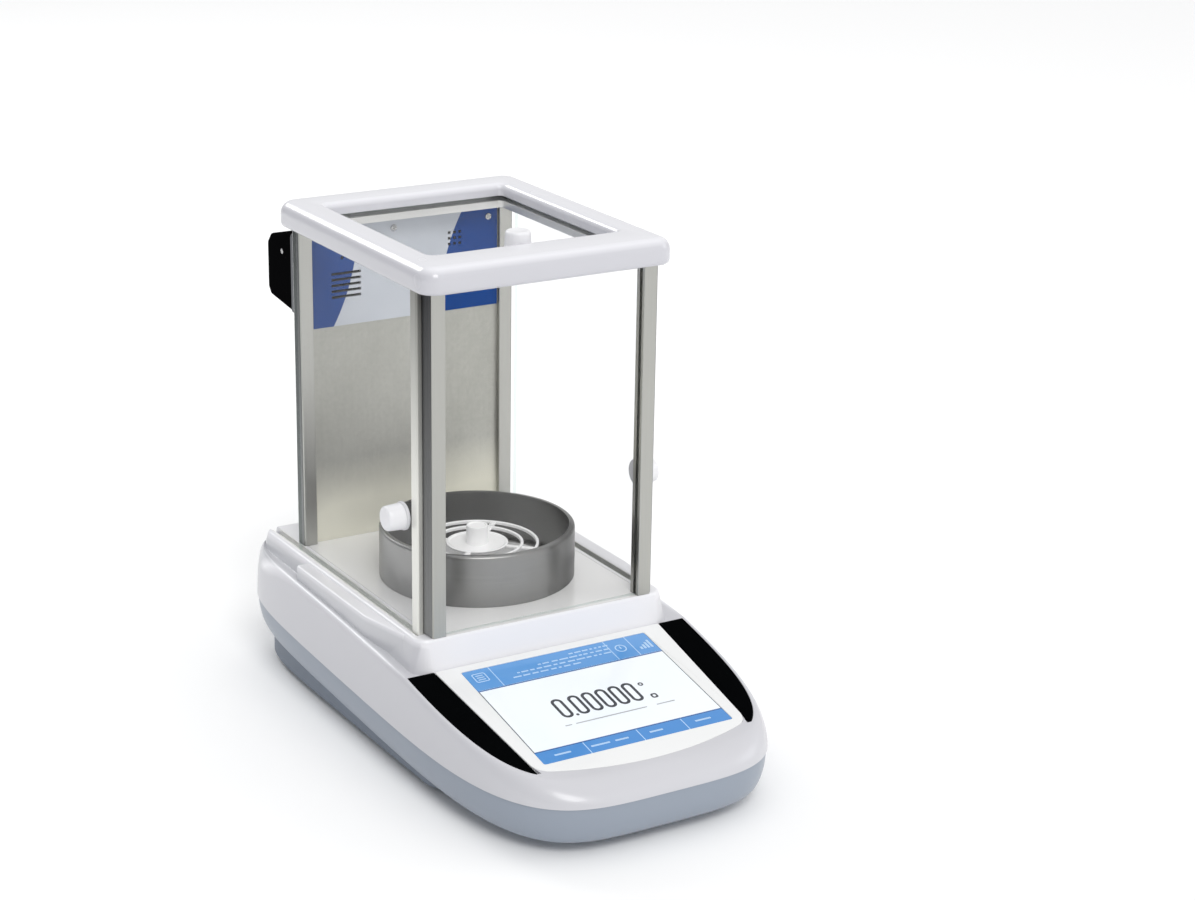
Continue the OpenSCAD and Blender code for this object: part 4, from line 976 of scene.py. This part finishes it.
def doors():
    """Side doors and top door with their knobs, and the fixed front pane."""
    stile_plan = rounded([(85.8, DOOR_FRONT, 0.7), (85.8, -30.7, 0.3), (86.5, -30.7), (86.5, -33.7),
                          (89.5, -33.7), (89.5, -30.7), (90.2, -30.7, 0.3), (90.2, DOOR_FRONT, 1.2)], 4)
    for side, word in SIDES:
        body = word + "_door"
        x0, x1 = sorted((side * (DOOR_X - GLASS / 2), side * (DOOR_X + GLASS / 2)))
        pane("pane_" + word, (x0, -33.7, DOOR_Z), (x1, 147.6, 333.3), body, "door_glass_" + word)
        plan = [(side * x, y) for x, y in stile_plan]
        stile = extruded("stile_" + word, plan if side < 0 else plan[::-1], DOOR_Z, 241.2)
        done(eased(stile, 0.3, 2, 60), STILE, body, "door_rail_" + word, slot="post", flat=True)
        grip, ring = knob("side_knob_" + word)
        for piece in (grip, ring):
            moved(piece, turn=side * 90, axis="Y")
            moved(piece, offset=(side * (DOOR_X + GLASS / 2), -19, 174))
        done(grip, KNOB, body, "door_knob_" + word, slot="knob_white")
        done(ring, COLLAR, body)
    pane("pane_top", (-76, -27, 336.5), (76, 144.6, 336.5 + GLASS), "top_door", "top_glass")
    grip, ring = (moved(piece, offset=(0, -10, 336.5 + GLASS)) for piece in knob("roof_knob"))
    done(grip, KNOB, "top_door", "top_knob", slot="knob_white")
    done(ring, COLLAR, "top_door")
    pane("pane_front", (-77.5, -46, DECK_H), (77.5, -46 + GLASS, RAILS_Z), "base", "front_glass")


def rear():
    """Vent housing with its neck and louvres, and the screws of the vent panel."""
    z = 268
    side = [(161.9, z, 2), (161.9, z + 54, 2.5), (194.9, z + 49, 5), (200.9, z + 42, 4), (200.9, z + 9, 3),
            (196.9, z + 4, 3)]
    box = eased(extruded("vent_box", rounded(side, 6), -POST_X, 2 * POST_X, "X"), 1.6, 4, 60)
    fused(box, block("neck", (-73.5, 152.6, 271), (73.5, 164, 315)))
    cut(box, block("neck_inside", (-71.5, 150, 273), (71.5, 193.9, 313)))
    slats = [[(x - 1.5, 283, 1.4), (x + 1.5, 283, 1.4), (x + 1.5, 307, 1.4), (x - 1.5, 307, 1.4)]
             for x in range(-48, 49, 8)]
    cut(box, *[extruded("slat", rounded(slat, 4), 190, 20, "Y") for slat in slats])
    done(box, HOUSING, "base", "vent_housing", slot="housing", smooth=40)
    plate = extruded("vent_flange", slab(POST_X, 324, 266, 3, steps=5), 157.9, 4, "Y")
    cut(plate, block("flange_hole", (-73.75, 150, 270), (73.75, 170, 316)))
    done(eased(plate, 0.5, 2, 60), FLANGE, "base", "housing_flange", slot="flange", flat=True)
    heads = [screw_head("vent_screw", (x, 149.9, 322), 2.5, 1.2, 90, "X") for x in (-66, -10, 66)]
    done(gathered("vent_screws_set", heads), STEEL, "base", "vent_panel_screws", slot="steel")
    spots = [screw_head("box_screw", (s * POST_X, 176, 308), 1.9, 0.4, 90 * s, "Y") for s in (-1, 1)]
    done(gathered("box_screws", spots), STEEL, "base")


def screw_head(name, place, r, h, turn, axis):
    """Domed head with a cross recess, h high, turned from upright about an axis and put in its place."""
    head = turned(name, [(0, -0.3), (r, -0.3), (r, 0.1), (r * 0.92, h * 0.6), (r * 0.6, h), (0, h)], steps=32)
    for a in (20, 110):
        slot = block("slot", (-r * 0.6, -r * 0.13, h * 0.35), (r * 0.6, r * 0.13, h * 3))
        cut(head, moved(slot, turn=a))
    moved(head, turn=turn, axis=axis)
    return moved(head, offset=place)


def weighing_parts():
    """Pan with its arms, boss and hub, and the wind ring."""
    z = 118
    disc = [(0, z - 1.5), (20.75, z - 1.5), (20.75, z - 0.6), (21.3, z - 0.4), (21.75, z + 0.1), (21.7, z + 0.55),
            (21.2, z + 0.8), (20.4, z + 0.78), (19.7, z + 0.4), (19.2, z + 0.05), (18.6, z), (8.0, z), (0, z)]
    parts = [turned("disc", disc, PAN_MIDDLE, steps=128)]
    for r in (32.62, 43.5):
        rim = rounded([(r - 2.2, z - 1.5, 0.3), (r - 0.8, z - 1.5, 0.3), (r, z - 0.7, 0.3), (r, z + 0.8, 0.6),
                       (r - 2.2, z + 0.8, 0.6)], 4)
        parts.append(turned("rim", rim, PAN_MIDDLE, steps=160))
    for a in (45, 135, 225, 315):
        arm = block("arm", (19.8, PAN_Y - 2, z - 1.5), (42.6, PAN_Y + 2, z), 0.3)
        parts.append(moved(arm, turn=a, about=PAN_MIDDLE))
    boss = [(0, z - 1), (7.8, z - 1), (7.8, z), (7.9, z + 0.25), (7.72, z + 0.6), (7.6, z + 12.2), (7.35, z + 12.8),
            (6.9, z + 13), (6.3, z + 12.9), (6.0, z + 12.4), (0, z + 12.3)]
    hub = [(5.05, 102), (7.6, 102), (8, 102.4), (8, 117), (0, 117), (0, 110.3), (5.05, 110.3)]
    parts += [turned(name, section, PAN_MIDDLE, steps=64) for name, section in (("boss", boss), ("hub", hub))]
    done(gathered("pan", parts), PAN, "pan", "weighing_pan", slot="steel", smooth=40)
    r, h, bend = 68.4, 36.8, 2.5
    wall = [(r - 5, 0), (r - 0.4, 0), (r, 0.4), (r, h - bend), *arc(r - bend, h - bend, bend, range(15, 91, 15)),
            (r - 4, h), (r - 4, h - 1.2), *arc(r - bend, h - bend, bend - 1.2, range(90, -1, -30)),
            (r - 1.2, 1.2), (r - 5, 1.2)]
    ring = turned("draft_ring", [(x, DECK_H + y) for x, y in wall], PAN_MIDDLE, steps=192)
    done(ring, RING, "ring", "wind_ring", slot="steel", smooth=40)


def feet():
    """Fixed front feet, level pads and level screws. The soles have grip rings."""
    sole = [(0, 0.6), (3, 0.6), (3.4, 0), (5, 0), (5.4, 0.6), (6.4, 0.6), (6.8, 0), (8.4, 0), (8.8, 0.6),
            (9.2, 0.6), (9.6, 0), (10.4, 0.2), (11, 1.2)]
    high = sole + [(11, 12), (10.5, 12.5), (0, 12.5)]
    fronts = [turned("chin_foot", high, (s * 62, -129, 0), steps=64) for s in (-1, 1)]
    done(gathered("chin_feet", fronts), RUBBER, "base", "front_feet", slot="rubber")
    pad = sole + [(11, 3.2), (10.4, 4), (4.05, 4), (4.05, 1.6), (0, 1.6)]
    for side, word in SIDES:
        spot = (side * SCREW_X, SCREW_Y, 0)
        done(turned("pad_" + word, pad, spot, steps=64), RUBBER, word + "_foot", "level_pad_" + word, slot="rubber")
        wheel = moved(eased(extruded("wheel_" + word, thumb_wheel(), 5.3, 7), 0.5, 2, 60), offset=spot)
        shaft = moved(threaded_shaft(), offset=spot)
        done(gathered("thumb_screw_" + word, [wheel, shaft]), STEEL, word + "_screw", "level_screw_" + word,
             slot="steel", smooth=40)


def thumb_wheel(r=17, scallops=18):
    """Plan of a wheel with scallops round its edge."""
    plan = []
    for i in range(scallops):
        mid = 2 * math.pi * (i + 0.5) / scallops
        plan += [(r * math.cos(mid + k * 0.038), r * math.sin(mid + k * 0.038)) for k in range(-3, 4)]
        dent = 2 * math.pi * (i + 1) / scallops
        for a in (dent + math.pi + k * 0.5 for k in range(-2, 3)):
            plan.append(((r + 0.8) * math.cos(dent) + 2 * math.cos(a), (r + 0.8) * math.sin(dent) + 2 * math.sin(a)))
    return plan


def threaded_shaft():
    """Shaft of 8 mm with a thread of 1.25 mm rise from the height of 13 mm upwards."""
    r, depth, pitch, around, bottom = 4, 0.62, 1.25, 36, 1.6
    rings = []
    for k in range(int(25.9 / pitch * 6) + 1):
        z = bottom + k * pitch / 6
        ring = []
        for i in range(around):
            phase = (z / pitch - i / around) % 1
            here = r - depth * (1 - abs(phase * 2 - 1)) * (0 if z < 13 else 1)
            ring.append((here * math.cos(2 * math.pi * i / around), here * math.sin(2 * math.pi * i / around), z))
        rings.append(ring)
    return filled(lofted("shaft", rings))


deck_parts()
shield_posts()
top_frame()
doors()
rear()
weighing_parts()
feet()


def carried_over():
    """Finishes for the nodes that keep their own shape."""
    looks = {"rear_wall": WALL_STEEL, "vent_panel": VENT_PAINT, "display_panel": MODULE, "display_board": BOARD,
             "sensor_boards": BOARD, "main_board": BOARD, "weigh_cell": CAST, "balance_lever": CAST,
             "magnet_pot": MAGNET, "force_coil": COPPER, "load_hanger": STEEL, "calibration_motor": MODULE,
             "calibration_lifter": CAST, "calibration_weight": STEEL, "port_plate": MODULE, "power_jack": SOCKET,
             "data_port": STEEL, "usb_port": STEEL, "casing_screws": STEEL}
    for name, look in looks.items():
        NODES[name].data.materials.clear()
        NODES[name].data.materials.append(look.material)


carried_over()


# Light, floor and camera

def studio():
    """Sky that is brighter from the front right, four lamps and a white floor."""
    scene = bpy.context.scene
    scene.world = bpy.data.worlds.new("studio")
    scene.world.use_nodes = True
    tree = scene.world.node_tree
    sky = tree.nodes["Background"]
    sky.inputs["Strength"].default_value = 0.64
    spot = tree.nodes.new("ShaderNodeTexCoord")
    slope = tree.nodes.new("ShaderNodeVectorMath")
    slope.operation = "DOT_PRODUCT"
    slope.inputs[1].default_value = Vector((0.75, -0.35, 0.55)).normalized()
    shift = tree.nodes.new("ShaderNodeMath")
    shift.operation = "MULTIPLY_ADD"
    shift.inputs[1].default_value = shift.inputs[2].default_value = 0.5
    ramp = tree.nodes.new("ShaderNodeValToRGB")
    for stop, place, colour in zip(ramp.color_ramp.elements, (0.12, 0.72),
                                   ((0.42, 0.43, 0.46, 1), (1.25, 1.25, 1.25, 1))):
        stop.position, stop.color = place, colour
    for given, taken in ((spot.outputs["Generated"], slope.inputs[0]), (slope.outputs["Value"], shift.inputs[0]),
                         (shift.outputs[0], ramp.inputs[0]), (ramp.outputs[0], sky.inputs["Color"])):
        tree.links.new(given, taken)
    lamps = [("key", "SUN", (-0.6, -2.2, 2.6), 0.45, 1.05, (1.0, 0.995, 0.985)),
             ("rim", "AREA", (-0.5, 2.3, 1.7), 0.9, 13, (1.0, 1.0, 1.0)),
             ("top", "AREA", (0.3, 0.3, 2.6), 2.4, 5, (1.0, 1.0, 1.0)),
             ("side", "AREA", (2.3, -0.9, 1.3), 1.2, 5, (0.97, 0.98, 1.0))]
    for name, kind, place, size, power, colour in lamps:
        data = bpy.data.lights.new(name, kind)
        data.energy, data.color = power, colour
        if kind == "SUN":
            data.angle = size
        else:
            data.shape, data.size = "DISK", size
        lamp = bpy.data.objects.new(name, data)
        lamp.location = place
        lamp.rotation_euler = (Vector((0, 0, 0.15)) - Vector(place)).to_track_quat("-Z", "Y").to_euler()
        bpy.context.collection.objects.link(lamp)
    floor = started(bpy.ops.mesh.primitive_grid_add, "studio_floor", x_subdivisions=8, y_subdivisions=8, size=60)
    paint = Look("studio_white", (0.95, 0.95, 0.95), 0.9)
    paint.set("Base Color", paint.blended(paint.noise(0.4), (0.975, 0.98, 0.985), (0.985, 0.985, 0.985)))
    floor.data.materials.append(paint.material)


def camera():
    """Camera fitted to the photo: its turn, tilt and roll, its lens, and its place in millimetres."""
    turn, tilt, roll = (math.radians(a) for a in (-31.51, 18.61, 0.98))
    ahead = Vector((-math.sin(turn) * math.cos(tilt), math.cos(turn) * math.cos(tilt), -math.sin(tilt)))
    level = Vector((math.cos(turn), math.sin(turn), 0))
    rise = level.cross(ahead)
    right = level * math.cos(roll) + rise * math.sin(roll)
    up = rise * math.cos(roll) - level * math.sin(roll)
    data = bpy.data.cameras.new("camera")
    data.lens, data.sensor_width, data.sensor_fit = 77.89, 36, "HORIZONTAL"
    data.clip_end = 200
    place = Matrix((right, up, -ahead)).transposed().to_4x4()
    place.translation = Vector((-814.9, -1443.5, 757.8)) * MM
    eye = bpy.data.objects.new("camera", data)
    eye.matrix_world = place
    bpy.context.collection.objects.link(eye)
    bpy.context.scene.camera = eye


studio()
camera()
bpy.context.scene.view_settings.view_transform = "Standard"
